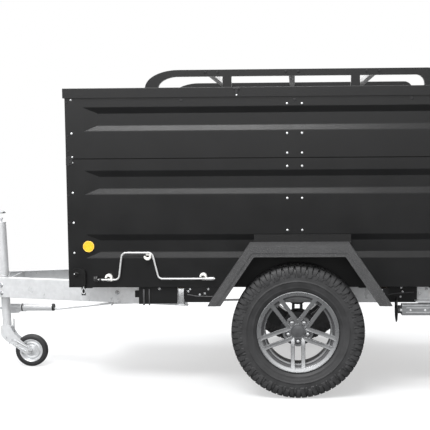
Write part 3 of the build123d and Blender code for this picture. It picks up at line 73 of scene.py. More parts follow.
def pairs(*lengths):
    """Points of two lengths each, given flat in millimetres."""
    scaled = mm(*lengths)
    return list(zip(scaled[::2], scaled[1::2]))


def place(dx, y, z):
    """A point given in millimetres from the wheel's axle, the middle and the floor."""
    return Vector((AXLE_X + dx / 1000, y / 1000, z / 1000))


# ------------------------------------------------------------------ shader nodes
def feed(tree, node, inputs):
    """Sets a node's plain sockets, and links those that are given another node's output."""
    for socket, value in inputs.items():
        if isinstance(value, bpy.types.NodeSocket):
            tree.links.new(value, node.inputs[socket])
        else:
            node.inputs[socket].default_value = value


def add_node(tree, kind, inputs=None, **settings):
    """A new shader node with its settings and sockets filled in."""
    node = tree.nodes.new("ShaderNode" + kind)
    for name, value in settings.items():
        setattr(node, name, value)
    feed(tree, node, inputs or {})
    return node


# ------------------------------------------------------------------ camera and stage
CAMERA_SPOT = (AXLE_X - 0.0152, -5.8392, 1.3542)
CAMERA_TURN = (-2.219, 5.207, -0.42)
LENS, SENSOR = 79.74, 36
SHIFT_X, SHIFT_Y = -0.1, 0.0386
# How strongly the world lights the drawbar's end and the tail, and between which headings that changes.
WORLD_LEFT, WORLD_RIGHT = 1.1, 0.5
WORLD_FROM, WORLD_TO = -0.35, 0.3
WORLD_TINT = (0.97, 0.98, 1.0, 1)
WHITE = (1, 1, 1, 1)
# The floor's own colour, its glow from near to far, where that glow rises, and its grey in reflections.
FLOOR_COLOR = (0.87, 0.875, 0.88, 1)
FLOOR_NEAR_GLOW = 0.5
FLOOR_NEAR, FLOOR_FAR = 1.9, 4.2
FLOOR_GREY = (0.08, 0.08, 0.08, 1)
FLOOR_RADIUS, FLOOR_DROP = 30, 0.0005
# Each lamp: name, place, the point it faces, its two sides, watts.
LAMPS = (
    ("key", (-0.9, -4.1, 6.1), (0.1, -0.6, 1.4), (4.2, 2.0), 430),
    ("top", (0.8, 0.4, 6.0), (0.6, 0, 1.0), (6.0, 3.0), 260),
    ("fill", (-4.8, -3.2, 1.8), (-0.6, 0, 0.7), (2.5, 3.0), 14),
    ("front", (-0.6, -6.6, 2.6), (0.0, -0.6, 1.0), (7.0, 2.0), 80),
    ("back", (0.5, 6.0, 3.5), (0.5, 0, 0.9), (6.0, 3.0), 160),
)


def add_camera():
    """The camera stands level with the box, a little ahead of the axle, and looks down slightly."""
    yaw, pitch, roll = (math.radians(angle) for angle in CAMERA_TURN)
    forward = Vector((math.sin(yaw) * math.cos(pitch), math.cos(yaw) * math.cos(pitch), -math.sin(pitch)))
    level = Vector((math.cos(yaw), -math.sin(yaw), 0))
    upright = level.cross(forward)
    right = math.cos(roll) * level + math.sin(roll) * upright
    up = math.cos(roll) * upright - math.sin(roll) * level
    data = bpy.data.cameras.new("camera")
    data.sensor_width = SENSOR
    data.lens = LENS
    data.shift_x, data.shift_y = SHIFT_X, SHIFT_Y
    camera = bpy.data.objects.new("camera", data)
    bpy.context.scene.collection.objects.link(camera)
    turn = Matrix((right, up, -forward)).transposed()
    camera.matrix_world = Matrix.Translation(CAMERA_SPOT) @ turn.to_4x4()
    bpy.context.scene.camera = camera


def area_light(name, spot, target, size, power):
    """A soft rectangular lamp aimed at a point."""
    data = bpy.data.lights.new(name, "AREA")
    data.shape = "RECTANGLE"
    data.size, data.size_y = size
    data.energy = power
    lamp = bpy.data.objects.new(name, data)
    bpy.context.scene.collection.objects.link(lamp)
    lamp.location = spot
    lamp.rotation_euler = (Vector(target) - Vector(spot)).to_track_quat("-Z", "Y").to_euler()


def add_world():
    """A white surround, seen by camera, glossy and transmission rays, that lights the drawbar's end more."""
    world = bpy.data.worlds.new("studio")
    world.use_nodes = True
    bpy.context.scene.world = world
    tree = world.node_tree
    tree.nodes.clear()
    heading = add_node(tree, "SeparateXYZ", {0: add_node(tree, "TexCoord").outputs["Generated"]})
    level = add_node(tree, "MapRange", {"Value": heading.outputs["X"], "From Min": WORLD_FROM, "From Max": WORLD_TO,
                                        "To Min": WORLD_LEFT, "To Max": WORLD_RIGHT})
    dim = add_node(tree, "Background", {"Color": WORLD_TINT, "Strength": level.outputs["Result"]})
    white = add_node(tree, "Background", {"Color": WHITE, "Strength": 1.0})
    rays = add_node(tree, "LightPath").outputs
    shown = rays["Is Camera Ray"]
    for kind in ("Is Glossy Ray", "Is Transmission Ray"):
        shown = add_node(tree, "Math", {0: shown, 1: rays[kind]}, operation="MAXIMUM").outputs[0]
    mix = add_node(tree, "MixShader", {0: shown, 1: dim.outputs[0], 2: white.outputs[0]})
    add_node(tree, "OutputWorld", {"Surface": mix.outputs[0]})


def add_floor():
    """A pale floor that keeps the shadow near the trailer and fades into the white surround."""
    bpy.ops.mesh.primitive_circle_add(vertices=96, radius=FLOOR_RADIUS, fill_type="NGON",
                                      location=(AXLE_X, 0, -FLOOR_DROP))
    floor = bpy.context.object
    floor.name = "studio_floor"
    material = bpy.data.materials.new("studio_floor")
    material.use_nodes = True
    tree = material.node_tree
    tree.nodes.clear()
    spot = add_node(tree, "TexCoord").outputs["Object"]
    reach = add_node(tree, "VectorMath", {0: spot}, operation="LENGTH").outputs["Value"]
    fade = add_node(tree, "MapRange", {"Value": reach, "From Min": FLOOR_NEAR, "From Max": FLOOR_FAR,
                                       "To Min": FLOOR_NEAR_GLOW}, interpolation_type="SMOOTHSTEP")
    matte = add_node(tree, "BsdfDiffuse", {"Color": FLOOR_COLOR})
    glow = add_node(tree, "Emission", {"Strength": 1.0})
    pale = add_node(tree, "MixShader", {0: fade.outputs["Result"], 1: matte.outputs[0], 2: glow.outputs[0]})
    # Glossy rays see a grey floor, so that the black sides keep their dark lower facets.
    grey = add_node(tree, "BsdfDiffuse", {"Color": FLOOR_GREY})
    glossy = add_node(tree, "LightPath").outputs["Is Glossy Ray"]
    seen = add_node(tree, "MixShader", {0: glossy, 1: pale.outputs[0], 2: grey.outputs[0]})
    add_node(tree, "OutputMaterial", {"Surface": seen.outputs[0]})
    floor.data.materials.append(material)


def add_stage():
    """The studio: plain colour handling, world, floor and soft lamps."""
    bpy.context.scene.view_settings.view_transform = "Standard"
    add_world()
    add_floor()
    for lamp in LAMPS:
        area_light(*lamp)


# ------------------------------------------------------------------ materials
ROUGH_SPREAD = 0.08
RAMP = (0.3, 0.7)
CLOUD_DETAIL, DOT_DETAIL, FINE_DETAIL = 6, 2, 4
DOTS_FROM, DOTS_TO = 0.56, 0.66
SPANGLE_SHADE = 0.72
BUMP_DEPTH = 0.001
MATERIALS = {}


def surface(name, color, roughness, metallic=0.0, grain=60.0, mottling=0.12, bump=0.0, bump_scale=400.0, speck=0.0,
            speck_scale=900.0, speck_color=WHITE[:3], coat=0.0, gloss=0.5, spangle=0.0, spangle_scale=70.0):
    """A procedural finish: colour that varies gently, uneven roughness, fine bump, specks or spangle."""
    material = bpy.data.materials.new(name)
    material.use_nodes = True
    tree = material.node_tree
    shader = tree.nodes["Principled BSDF"]
    spot = add_node(tree, "TexCoord").outputs["Object"]

    def noise(scale, detail):
        """Noise over the object's own space."""
        return add_node(tree, "TexNoise", {"Scale": scale, "Detail": detail, "Vector": spot}).outputs["Fac"]

    cloud = noise(grain, CLOUD_DETAIL)
    shade = add_node(tree, "ValToRGB", {"Fac": cloud})
    for element, position, change in zip(shade.color_ramp.elements, RAMP, (-mottling, mottling)):
        element.position = position
        element.color = [min(1, c * (1 + change)) for c in color] + [1]
    tint = shade.outputs["Color"]
    if speck:
        pick = add_node(tree, "MapRange", {"Value": noise(speck_scale, DOT_DETAIL), "From Min": DOTS_FROM,
                                           "From Max": DOTS_TO, "To Max": speck})
        tint = blend_over(tree, pick.outputs["Result"], tint, speck_color)
    if spangle:
        crystals = add_node(tree, "TexVoronoi", {"Scale": spangle_scale, "Vector": spot})
        step = add_node(tree, "MapRange", {"Value": crystals.outputs["Color"], "To Max": spangle})
        tint = blend_over(tree, step.outputs["Result"], tint, [c * SPANGLE_SHADE for c in color])
    rough = add_node(tree, "MapRange", {"Value": cloud, "To Min": max(0.02, roughness - ROUGH_SPREAD),
                                        "To Max": min(1, roughness + ROUGH_SPREAD)})
    feed(tree, shader, {"Metallic": metallic, "Coat Weight": coat, "Specular IOR Level": gloss, "Base Color": tint,
                        "Roughness": rough.outputs["Result"]})
    if bump:
        relief = add_node(tree, "Bump", {"Strength": bump, "Distance": BUMP_DEPTH,
                                         "Height": noise(bump_scale, FINE_DETAIL)})
        feed(tree, shader, {"Normal": relief.outputs["Normal"]})
    MATERIALS[name] = material


def blend_over(tree, share, tint, color):
    """A tint with a share of a plain colour laid over it."""
    mix = add_node(tree, "Mix", data_type="RGBA")
    feed(tree, mix, {"B": (*color, 1), "Factor": share, "A": tint})
    return mix.outputs["Result"]


surface("galvanised_steel", (0.66, 0.668, 0.677), 0.3, 0.3, grain=14, mottling=0.07, bump=0.08, bump_scale=160,
        spangle=0.35, spangle_scale=60)
surface("bright_zinc", (0.66, 0.67, 0.68), 0.25, 0.75, grain=40, mottling=0.08)
surface("black_powder_coat", (0.0080, 0.0081, 0.0084), 0.33, grain=7, mottling=0.1, bump=0.16, bump_scale=620,
        gloss=0.3)
# A lighter, mottled black: its lightness is painted highlight, the light that pressed ribs and screw heads catch.
surface("worn_black", (0.05, 0.05, 0.052), 0.45, mottling=0.25, bump=0.15)
surface("coarse_black", (0.045, 0.045, 0.046), 0.6, grain=10, bump=0.7, bump_scale=420, speck=0.75, speck_scale=300,
        speck_color=(0.17, 0.17, 0.17), gloss=0.35)
# A near-black matte strip: painted shade standing in for the shadow gap in the board seam.
surface("seal_black", (0.003, 0.003, 0.003), 0.75, bump=0.1, gloss=0.15)
surface("corner_black", (0.006, 0.006, 0.006), 0.3, grain=30, bump=0.1, gloss=0.4)
surface("cast_steel", (0.035, 0.036, 0.038), 0.55, 0.3, grain=30, bump=0.25, bump_scale=300)
surface("steel_fitting", (0.62, 0.63, 0.64), 0.28, 0.85, grain=40)
surface("bright_rivet", (0.72, 0.73, 0.74), 0.3, 0.5, grain=90)
surface("black_plastic", (0.017, 0.017, 0.018), 0.5, grain=30, bump=0.15, gloss=0.35)
surface("dull_steel", (0.24, 0.245, 0.25), 0.42, 0.5, grain=30, mottling=0.1, bump=0.1)
surface("dull_zinc", (0.6, 0.6, 0.6), 0.4, 0.5, grain=50)
surface("dark_grey", (0.03, 0.03, 0.031), 0.4, grain=50)
surface("white_plastic", (0.72, 0.71, 0.68), 0.4, mottling=0.05, bump=0.05)
surface("gaiter_rubber", (0.014, 0.014, 0.014), 0.7, grain=40, bump=0.2, gloss=0.3)
surface("tyre_rubber", (0.028, 0.028, 0.029), 0.55, grain=22, mottling=0.22, bump=0.25, bump_scale=420, gloss=0.4)
surface("jockey_rubber", (0.022, 0.022, 0.023), 0.55, grain=40, mottling=0.15, bump=0.1)
surface("silver_alloy", (0.35, 0.355, 0.362), 0.28, 0.8, grain=18, mottling=0.04)
# A darker copy of the rim alloy: painted shade for the rim's deep barrel and its sunk bolt wells.
surface("dark_alloy", (0.075, 0.075, 0.078), 0.36, 0.4, grain=40)
surface("cap_alloy", (0.11, 0.112, 0.116), 0.35, 0.5)
surface("jockey_rim_steel", (0.66, 0.67, 0.68), 0.33, 0.5, grain=30)
surface("floor_plywood", (0.12, 0.075, 0.045), 0.6, grain=12, mottling=0.3, bump=0.3, bump_scale=260)
surface("amber_reflector", (0.95, 0.47, 0.012), 0.22, grain=80, mottling=0.05, coat=0.3)
surface("amber_rim", (0.95, 0.62, 0.12), 0.3, grain=80, mottling=0.05, coat=0.3)
surface("red_lens", (0.5, 0.01, 0.01), 0.18, grain=80, coat=0.6)
surface("amber_lens", (0.8, 0.24, 0.015), 0.18, grain=80, coat=0.6)
surface("clear_lens", (0.7, 0.71, 0.72), 0.12, grain=80, mottling=0.04, coat=0.8)
surface("blank_plate", (0.55, 0.55, 0.54), 0.4, grain=30, mottling=0.04)

# The mudguards' top sheet is speckled, and the flange that stands above it is plain.
MUDGUARD_FLANGE_Z = 0.8225
FLANGE_COLOR = (0.008, 0.008, 0.0082)


def plain_above(material, height, color):
    """Leaves the speckle off a finish above a height."""
    tree = material.node_tree
    shader = tree.nodes["Principled BSDF"]
    tint = shader.inputs["Base Color"].links[0].from_socket
    split = add_node(tree, "SeparateXYZ", {0: add_node(tree, "TexCoord").outputs["Object"]})
    over = add_node(tree, "Math", {0: split.outputs["Z"], 1: height}, operation="GREATER_THAN")
    feed(tree, shader, {"Base Color": blend_over(tree, over.outputs[0], tint, color)})


plain_above(MATERIALS["coarse_black"], MUDGUARD_FLANGE_Z, FLANGE_COLOR)
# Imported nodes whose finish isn't the one of their slot.
NODE_FINISHES = {"mudguard_left": "coarse_black", "mudguard_right": "coarse_black", "corner_fittings": "corner_black",
                 "steady_leg_left": "dull_steel", "steady_leg_right": "dull_steel"}


def dress_nodes():
    """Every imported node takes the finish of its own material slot, or the one that stands in for it."""
    for part in frame["record"]["subparts"]:
        materials = NODES[part["node"]].data.materials
        materials.clear()
        materials.append(MATERIALS[NODE_FINISHES.get(part["node"], part["material_slot"])])


# ------------------------------------------------------------------ mesh helpers
def axes_for(axis):
    """Two directions square to an axis, the first one level where that can be."""
    axis = Vector(axis).normalized()
    first = UP.cross(axis) if abs(axis.z) < 0.99 else ALONG.copy()
    first.normalize()
    return first, axis.cross(first), axis


def lathe(bm, profile, centre, axis, segments=32, turn=0.0):
    """Turns a profile of (radius, distance along the axis) into a round solid."""
    first, second, axis = axes_for(axis)
    centre = Vector(centre)
    rings = []
    for radius, along in profile:
        if radius < 1e-6:
            rings.append([bm.verts.new(centre + axis * along)])
            continue
        ring = []
        for step in range(segments):
            angle = turn + step * math.tau / segments
            spoke = first * math.cos(angle) + second * math.sin(angle)
            ring.append(bm.verts.new(centre + axis * along + spoke * radius))
        rings.append(ring)
    for ring, after in zip(rings, rings[1:]):
        for step in range(segments):
            follow = (step + 1) % segments
            corners = [ring[step % len(ring)], ring[follow % len(ring)],
                       after[follow % len(after)], after[step % len(after)]]
            corners = [v for i, v in enumerate(corners) if v not in corners[:i]]
            if len(corners) > 2:
                bm.faces.new(corners)
    return rings


def block(bm, low, high, chamfer=0.0012, turn=None):
    """A box between two corners with every edge broken, turned by a matrix where one is given."""
    low, high = Vector(low), Vector(high)
    made = bmesh.ops.create_cube(bm, size=1)["verts"]
    for vert in made:
        for axis in range(3):
            vert.co[axis] = (low[axis] + high[axis]) / 2 + vert.co[axis] * (high[axis] - low[axis])
    edges = list({edge for vert in made for edge in vert.link_edges})
    result = bmesh.ops.bevel(bm, geom=edges, offset=chamfer, segments=2, affect="EDGES", profile=0.5)
    if turn:
        verts = {vert for face in result["faces"] for vert in face.verts}
        verts |= {vert for vert in made if vert.is_valid}
        bmesh.ops.transform(bm, matrix=turn, verts=list(verts))


def plate(bm, outline, origin, right, up, depth, chamfer=0.001):
    """A flat plate with a broken front edge: its outline in two directions, its depth along their cross."""
    right, up, origin = Vector(right).normalized(), Vector(up).normalized(), Vector(origin)
    out = right.cross(up)
    count = len(outline)
    area = sum(outline[i][0] * outline[(i + 1) % count][1] - outline[(i + 1) % count][0] * outline[i][1]
               for i in range(count))
    if area < 0:
        outline = outline[::-1]
    inset = []
    for i in range(count):
        before, here, after = (Vector(outline[j % count]) for j in (i - 1, i, i + 1))
        a, b = (here - before).normalized(), (after - here).normalized()
        normal_a, normal_b = Vector((-a.y, a.x)), Vector((-b.y, b.x))
        share = max(0.35, 1 + normal_a.dot(normal_b))
        inset.append(here + (normal_a + normal_b) * (chamfer / share))
    layers = ((outline, 0), (outline, depth - chamfer * math.copysign(1, depth)), (inset, depth))
    rings = [[bm.verts.new(origin + right * p[0] + up * p[1] + out * height) for p in shape]
             for shape, height in layers]
    for ring, after in zip(rings, rings[1:]):
        for i in range(count):
            bm.faces.new((ring[i], ring[(i + 1) % count], after[(i + 1) % count], after[i]))
    bm.faces.new(rings[0][::-1])
    bm.faces.new(rings[-1])


def tube(bm, points, radius, sides=10):
    """A round bar along a line of points, its ends closed."""
    points = [Vector(point) for point in points]
    rings = []
    for index, point in enumerate(points):
        before = points[max(0, index - 1)]
        after = points[min(len(points) - 1, index + 1)]
        run = (after - before).normalized()
        first = run.cross(ACROSS if abs(run.y) < 0.9 else UP).normalized()
        second = run.cross(first)
        size = radius[index] if isinstance(radius, (list, tuple)) else radius
        rings.append([bm.verts.new(point + (first * math.cos(a) + second * math.sin(a)) * size)
                      for a in (step * math.tau / sides for step in range(sides))])
    for ring, after in zip(rings, rings[1:]):
        for step in range(sides):
            follow = (step + 1) % sides
            bm.faces.new((ring[step], ring[follow], after[follow], after[step]))
    bm.faces.new(rings[0][::-1])
    bm.faces.new(rings[-1])


SINK = 0.0004


def weld(bm):
    """Joins the points of a ring profile that closes on itself."""
    bmesh.ops.remove_doubles(bm, verts=bm.verts, dist=1e-5)


def side_plate(bm, outline, origin, hand, depth, chamfer):
    """A plate that stands on the left or right side, its outline drawn as seen on the left."""
    plate(bm, [(-hand * x, z) for x, z in outline], origin, ALONG * -hand, UP, depth, chamfer)


def line(y, *lengths):
    """A line of points at one distance from the middle, given flat as pairs from the axle and the floor."""
    return [place(dx, y, z) for dx, z in zip(lengths[::2], lengths[1::2])]


def ring_of(centre, radius, count):
    """Points round an upright closed ring that faces the side, the first one repeated at the end."""
    turns = (step * math.tau / count for step in range(count + 1))
    return [centre + Vector((radius * math.sin(a), 0, radius * math.cos(a))) for a in turns]


def arm_axes(arm, count):
    """The outward and the sideways direction of one of a wheel's arms, the first of which points down."""
    turn = Matrix.Rotation(arm * math.tau / count, 3, "Y")
    return turn @ -UP, turn @ ALONG


def rivet(bm, centre, axis, radius=0.0042, height=0.0022):
    """A domed rivet head."""
    dome = [(radius * math.cos(a), height * math.sin(a)) for a in (0, 0.35, 0.75, 1.15)]
    lathe(bm, [(radius, -SINK), *dome, (0, height)], centre, axis, 12)


def hex_bolt(bm, centre, axis, across=0.010, height=0.006, washer=0.0, turn=0.0):
    """A bolt head with chamfered corners, on a washer where one is given."""
    base = 0.0
    if washer:
        base = mm(1.8)
        lathe(bm, [(washer, -SINK), (washer, mm(1.2)), (washer - mm(0.6), base), (0, base)], centre, axis, 20)
    corner = across / math.sqrt(3)
    lathe(bm, [(corner, base - SINK), (corner, base + height * 0.8), (corner * 0.86, base + height),
               (corner * 0.5, base + height), (corner * 0.42, base + height * 0.8), (0, base + height * 0.8)],
          centre, axis, 6, turn)


def finish_piece(bm, name, body, slot, finish=None, sharp=32):
    """Closes a mesh, gives it its finish and joins it to the body it moves with."""
    bmesh.ops.recalc_face_normals(bm, faces=bm.faces)
    mesh = bpy.data.meshes.new(name)
    bm.to_mesh(mesh)
    bm.free()
    mesh.shade_smooth()
    mesh.set_sharp_from_angle(angle=math.radians(sharp))
    piece = bpy.data.objects.new(name, mesh)
    bpy.context.scene.collection.objects.link(piece)
    mesh.materials.append(MATERIALS[finish or slot])
    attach(piece, body)
    return piece


# ------------------------------------------------------------------ road wheels
TREAD_PITCHES = 66
# The shoulder lug's rows, over the edge and down the side: distance from the middle, half width in pitches.
SHOULDER = ((0.0600, 0.36), (0.0700, 0.38), (0.0790, 0.38))
SKIRT = ((0.0830, 0.375), (0.0930, 0.36), (0.1040, 0.335), (0.1140, 0.30))
# Half of the tread's outer envelope and of the carcass under it: distance from the middle, radius.
ENVELOPE = pairs(0, 357.8, 40, 357.6, 68, 357.0, 83, 355.4, 90.5, 351, 95.6, 343, 99, 331, 101.2, 316, 102.2, 301)
GROOVE_FLOOR = pairs(0, 348.5, 40, 348.2, 66, 347.4, 79, 345.4, 86, 341.8, 91.4, 335, 95.2, 325, 98.2, 311, 99.4, 297)
SIDEWALL = pairs(98.6, 284, 99.2, 277, 100.4, 275.6, 100.3, 273, 98.9, 271.6, 97.6, 262, 94.6, 252, 91.4, 244.6,
        91.9, 241.2, 90.6, 238.4, 87.2, 234.6, 83.6, 229.4, 80.4, 224.2, 77.4, 221, 76.2, 214, 74.2, 203.2)


def walk(line, distance):
    """The point a distance along a line of points."""
    for start, stop in zip(line, line[1:]):
        run = math.dist(start, stop)
        if distance <= run:
            share = distance / run
            return [a + (b - a) * share for a, b in zip(start, stop)]
        distance -= run
    return list(line[-1])


def line_length(line):
    """The whole length of a line of points."""
    return sum(math.dist(a, b) for a, b in zip(line, line[1:]))


FLARE = 0.0022


def tread_block(bm, hub, rows):
    """A rubber block from rows of (side distance, left angle, right angle); the distance's sign picks the side."""
    top, foot = [], []
    for index, (travel, left, right) in enumerate(rows):
        hand = -1 if travel < 0 else 1
        # The foot of the first and last row stands out past the top, as the block's sides flare.
        reach = abs(travel)
        if index in (0, len(rows) - 1):
            outward = (index > 0) == (rows[-1][0] > rows[0][0])
            reach = abs(travel + (FLARE if outward else -FLARE))
        inner = walk(GROOVE_FLOOR, min(1, reach / line_length(ENVELOPE)) * line_length(GROOVE_FLOOR))
        for (offset, radius), edge, store in ((walk(ENVELOPE, abs(travel)), 0.0, top), (inner, FLARE, foot)):
            store.append([bm.verts.new((hub.x + radius * math.sin(turned), hub.y + hand * offset,
                                        hub.z + radius * math.cos(turned)))
                          for turned in (left - edge / radius, right + edge / radius)])
    for (a, b), (c, d) in zip(top, top[1:]):
        bm.faces.new((a, b, d, c))
    for side in (0, 1):
        for (a, b), (c, d) in zip(zip(top, foot), zip(top[1:], foot[1:])):
            bm.faces.new((a[side], c[side], d[side], b[side]))
    for i in (0, -1):
        bm.faces.new((top[i][0], top[i][1], foot[i][1], foot[i][0]))


def make_tyre(name, body, node, hub):
    """An all-terrain tyre: carcass, interlocking tread blocks and long and short shoulder lugs."""
    bm = bmesh.new()
    half = [*GROOVE_FLOOR, *SIDEWALL]
    profile = [(radius, -offset) for offset, radius in reversed(half)] + [(r, o) for o, r in half[1:]]
    inside = pairs(200.5, 74, 201, 40, 201, -40, 200.5, -74)
    lathe(bm, [*profile, *inside, profile[0]], hub, ACROSS, 176)
    weld(bm)
    pitch = math.tau / TREAD_PITCHES
    draw = random.Random(7)
    for index in range(TREAD_PITCHES):
        long_lug = index % 2 == 0
        for hand in (-1, 1):
            shift = index * pitch + (pitch * 0.5 if hand > 0 else 0)
            foot = shift + 0.5 * pitch

            def add_block(middle, *rows):
                """One lug on this side, its edges given as shares of the pitch either side of its middle."""
                tread_block(bm, hub, [(hand * travel, middle + left * pitch, middle + right * pitch)
                                      for travel, left, right in rows])

            # The shoulder lug goes over the edge and down the side, split by a sipe.
            wobble = draw.uniform(-1, 1)
            end = (0.1440 if long_lug else 0.1290) + 0.0025 * wobble
            lean = (0.20 if long_lug else -0.14) + 0.05 * wobble
            for part in (SHOULDER, (*SKIRT, (end, 0.235))):
                leans = [lean * (travel - 0.08) / 0.06 for travel, _ in part]
                add_block(shift, *((travel, off - width, off + width) for (travel, width), off in zip(part, leans)))
            # A small biting lug stands between two of them.
            add_block(foot, (0.1240 - 0.002 * wobble, -0.12, 0.15), (0.1320, -0.10, 0.12),
                      (0.1400 if long_lug else 0.1470, -0.07, 0.05))
            # A slanted block comes next, and then the middle block.
            skew = hand * 0.22
            add_block(foot, (0.0250 if long_lug else 0.0285, -skew - 0.33, -skew + 0.37), (0.0400, -0.38, 0.30),
                      (0.0535 if long_lug else 0.0505, skew - 0.36, skew + 0.34))
            add_block(shift, (0.0022, 0.10, 0.78), (0.0110, 0.02, 0.72), (0.0205, -0.05, 0.58))
    piece = finish_piece(bm, name, body, "tyre_rubber", sharp=38)
    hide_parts(node)


RIM_SPOKES = 5
SPOKE_GAP = mm(28)


def make_rim(name, body, node, hub, hand):
    """A five-twin-spoke alloy rim with a dished face, stepped lip, deep barrel, bolts and a plain cap."""
    out = ACROSS * hand
    bm = bmesh.new()
    lip = pairs(203, 73, 213, 75.6, 219.8, 79.5, 219.8, 84, 218.6, 85.6, 216, 86, 214.4, 85.4, 213, 83.6, 202, 80,
            198.6, 79.2, 197, 77.6, 196.6, 73.5, 199.6, 72.5, 203, 73)
    lathe(bm, lip, hub, out, 160)
    weld(bm)
    barrel = bmesh.new()
    lathe(barrel, pairs(219.8, -86, 219.8, -80, 213, -75.4, 203.2, -73, 203, -40, 183, -26, 183, 26, 202.6, 40,
            202.8, 72.8, 197, 73, 191.4, 69, 187.4, 67.4, 185.6, 64.5, 185, 52, 183.4, 50.4, 179, 50, 177.4, 48.5,
            176, 30, 176, -30, 196, -44, 196, -78, 209.8, -86, 219.8, -86), hub, out, 128)
    weld(barrel)
    # The barrel takes the darker alloy: painted shade for the shadow inside the deep barrel.
    finish_piece(barrel, name + "_barrel", body, "silver_alloy", "dark_alloy", sharp=28)
    step_ring = bmesh.new()
    lathe(step_ring, pairs(184.6, 51.6, 184.2, 53, 176.6, 51.8, 175.4, 50, 175.6, 46, 184.6, 47, 184.6, 51.6),
          hub, out, 128)
    weld(step_ring)
    finish_piece(step_ring, name + "_inner_ring", body, "silver_alloy", sharp=28)
    # hub disc with its sunk bolt pockets
    face = pairs(33.5, 25.6, 64, 25.6, 66.5, 31, 66, 43, 61, 48.5, 47, 50.5, 40.5, 50.5, 39.4, 53)
    lathe(bm, [*face, mm(38.6, 54.4), mm(36, 54.8)], hub, out, 60)
    # each spoke is a bar with broken top edges, from the hub out to the lip
    # distance out, face height, half width, back height
    stations = (mm(30, 49.5, 9.5, 27), mm(52, 57.5, 11.2, 30), mm(84, 60.5, 11.0, 34), mm(120, 64, 10.6, 40),
                mm(160, 70.5, 11.0, 46), mm(186, 76.2, 12.2, 52), mm(204, 81.4, 14.0, 70))
    for arm in range(RIM_SPOKES):
        down, side = arm_axes(arm, RIM_SPOKES)
        for twin in (-1, 1):
            rings = []
            for reach, height, half, back in stations:
                spot = hub + down * reach + side * (twin * SPOKE_GAP)
                section = ((-half + 0.0022, height), (-half + 0.006, height - 0.0004), (half - 0.006, height - 0.0004),
                           (half - 0.0022, height), (half, height - 0.0026), (half - 0.0016, back + 0.004),
                           (half - 0.0042, back), (-half + 0.0042, back), (-half + 0.0016, back + 0.004),
                           (-half, height - 0.0026))
                rings.append([bm.verts.new(spot + side * across + out * high) for across, high in section])
            for ring, after in zip(rings, rings[1:]):
                for i in range(len(ring)):
                    follow = (i + 1) % len(ring)
                    bm.faces.new((ring[i], ring[follow], after[follow], after[i]))
            bm.faces.new(rings[0][::-1])
            bm.faces.new(rings[-1])
        # web between the twins, over the bolt
        web = pairs(-20, 34, 20, 34, 20, 72, 15, 80, 8, 84, -8, 84, -15, 80, -20, 72)
        origin = hub + out * mm(25.6)
        plate(bm, [(x, z) for x, z in web], origin, side * -hand, down, -mm(17), mm(1.5))
    rim = finish_piece(bm, name, body, "silver_alloy", sharp=28)
    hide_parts(node)

    pockets, bolts = bmesh.new(), bmesh.new()
    for arm in range(RIM_SPOKES):
        seat = hub + arm_axes(arm, RIM_SPOKES)[0] * mm(56) + out * mm(42)
        lathe(pockets, pairs(16.5, 0, 16.5, 9.2, 15.2, 10, 13.6, 9.4, 12.8, 2.5, 0, 2.5),
              seat, out, 28)
        lathe(bolts, pairs(11, 2, 11, 4.2, 9.6, 5, 9.6, 9.6, 8.4, 12, 5, 13.4, 0, 13.8),
              seat, out, 6, 0.3)
    # The bolt wells take the darker alloy: painted shade in the sunk pockets.
    finish_piece(pockets, name + "_bolt_wells", body, "silver_alloy", "dark_alloy")
    finish_piece(bolts, name + "_wheel_bolts", body, "steel_fitting", sharp=40)
    cap = bmesh.new()
    lathe(cap, pairs(38.8, 53.4, 38.8, 57.4, 38, 58.8, 36.4, 59.4, 34.6, 58.8, 33.4, 56.6, 30, 57.2, 16, 59.2,
            0, 59.9), hub, out, 64)
    finish_piece(cap, name + "_cap", body, "silver_alloy", "cap_alloy")
    valve = bmesh.new()
    valve_dir = arm_axes(3, RIM_SPOKES)[0]
    lathe(valve, pairs(5.5, 0, 5.8, 6, 4.2, 14, 3.6, 26, 4.4, 27, 4.4, 34, 3, 35.4, 0, 35.4),
          hub + valve_dir * mm(186) + out * mm(46), out, 16)
    finish_piece(valve, name + "_valve", body, "gaiter_rubber")


# ------------------------------------------------------------------ box, lid and rack
EDGE_RIVETS = mm(764, 931, 1097, 1263, 1293, 1423, 1606)
MIDDLE_RIVETS = mm(887, 1063, 1238, 1310, 1417, 1577)
REAR_RIVETS = mm(640, 764, 931, 1097, 1263, 1293, 1423, 1606)


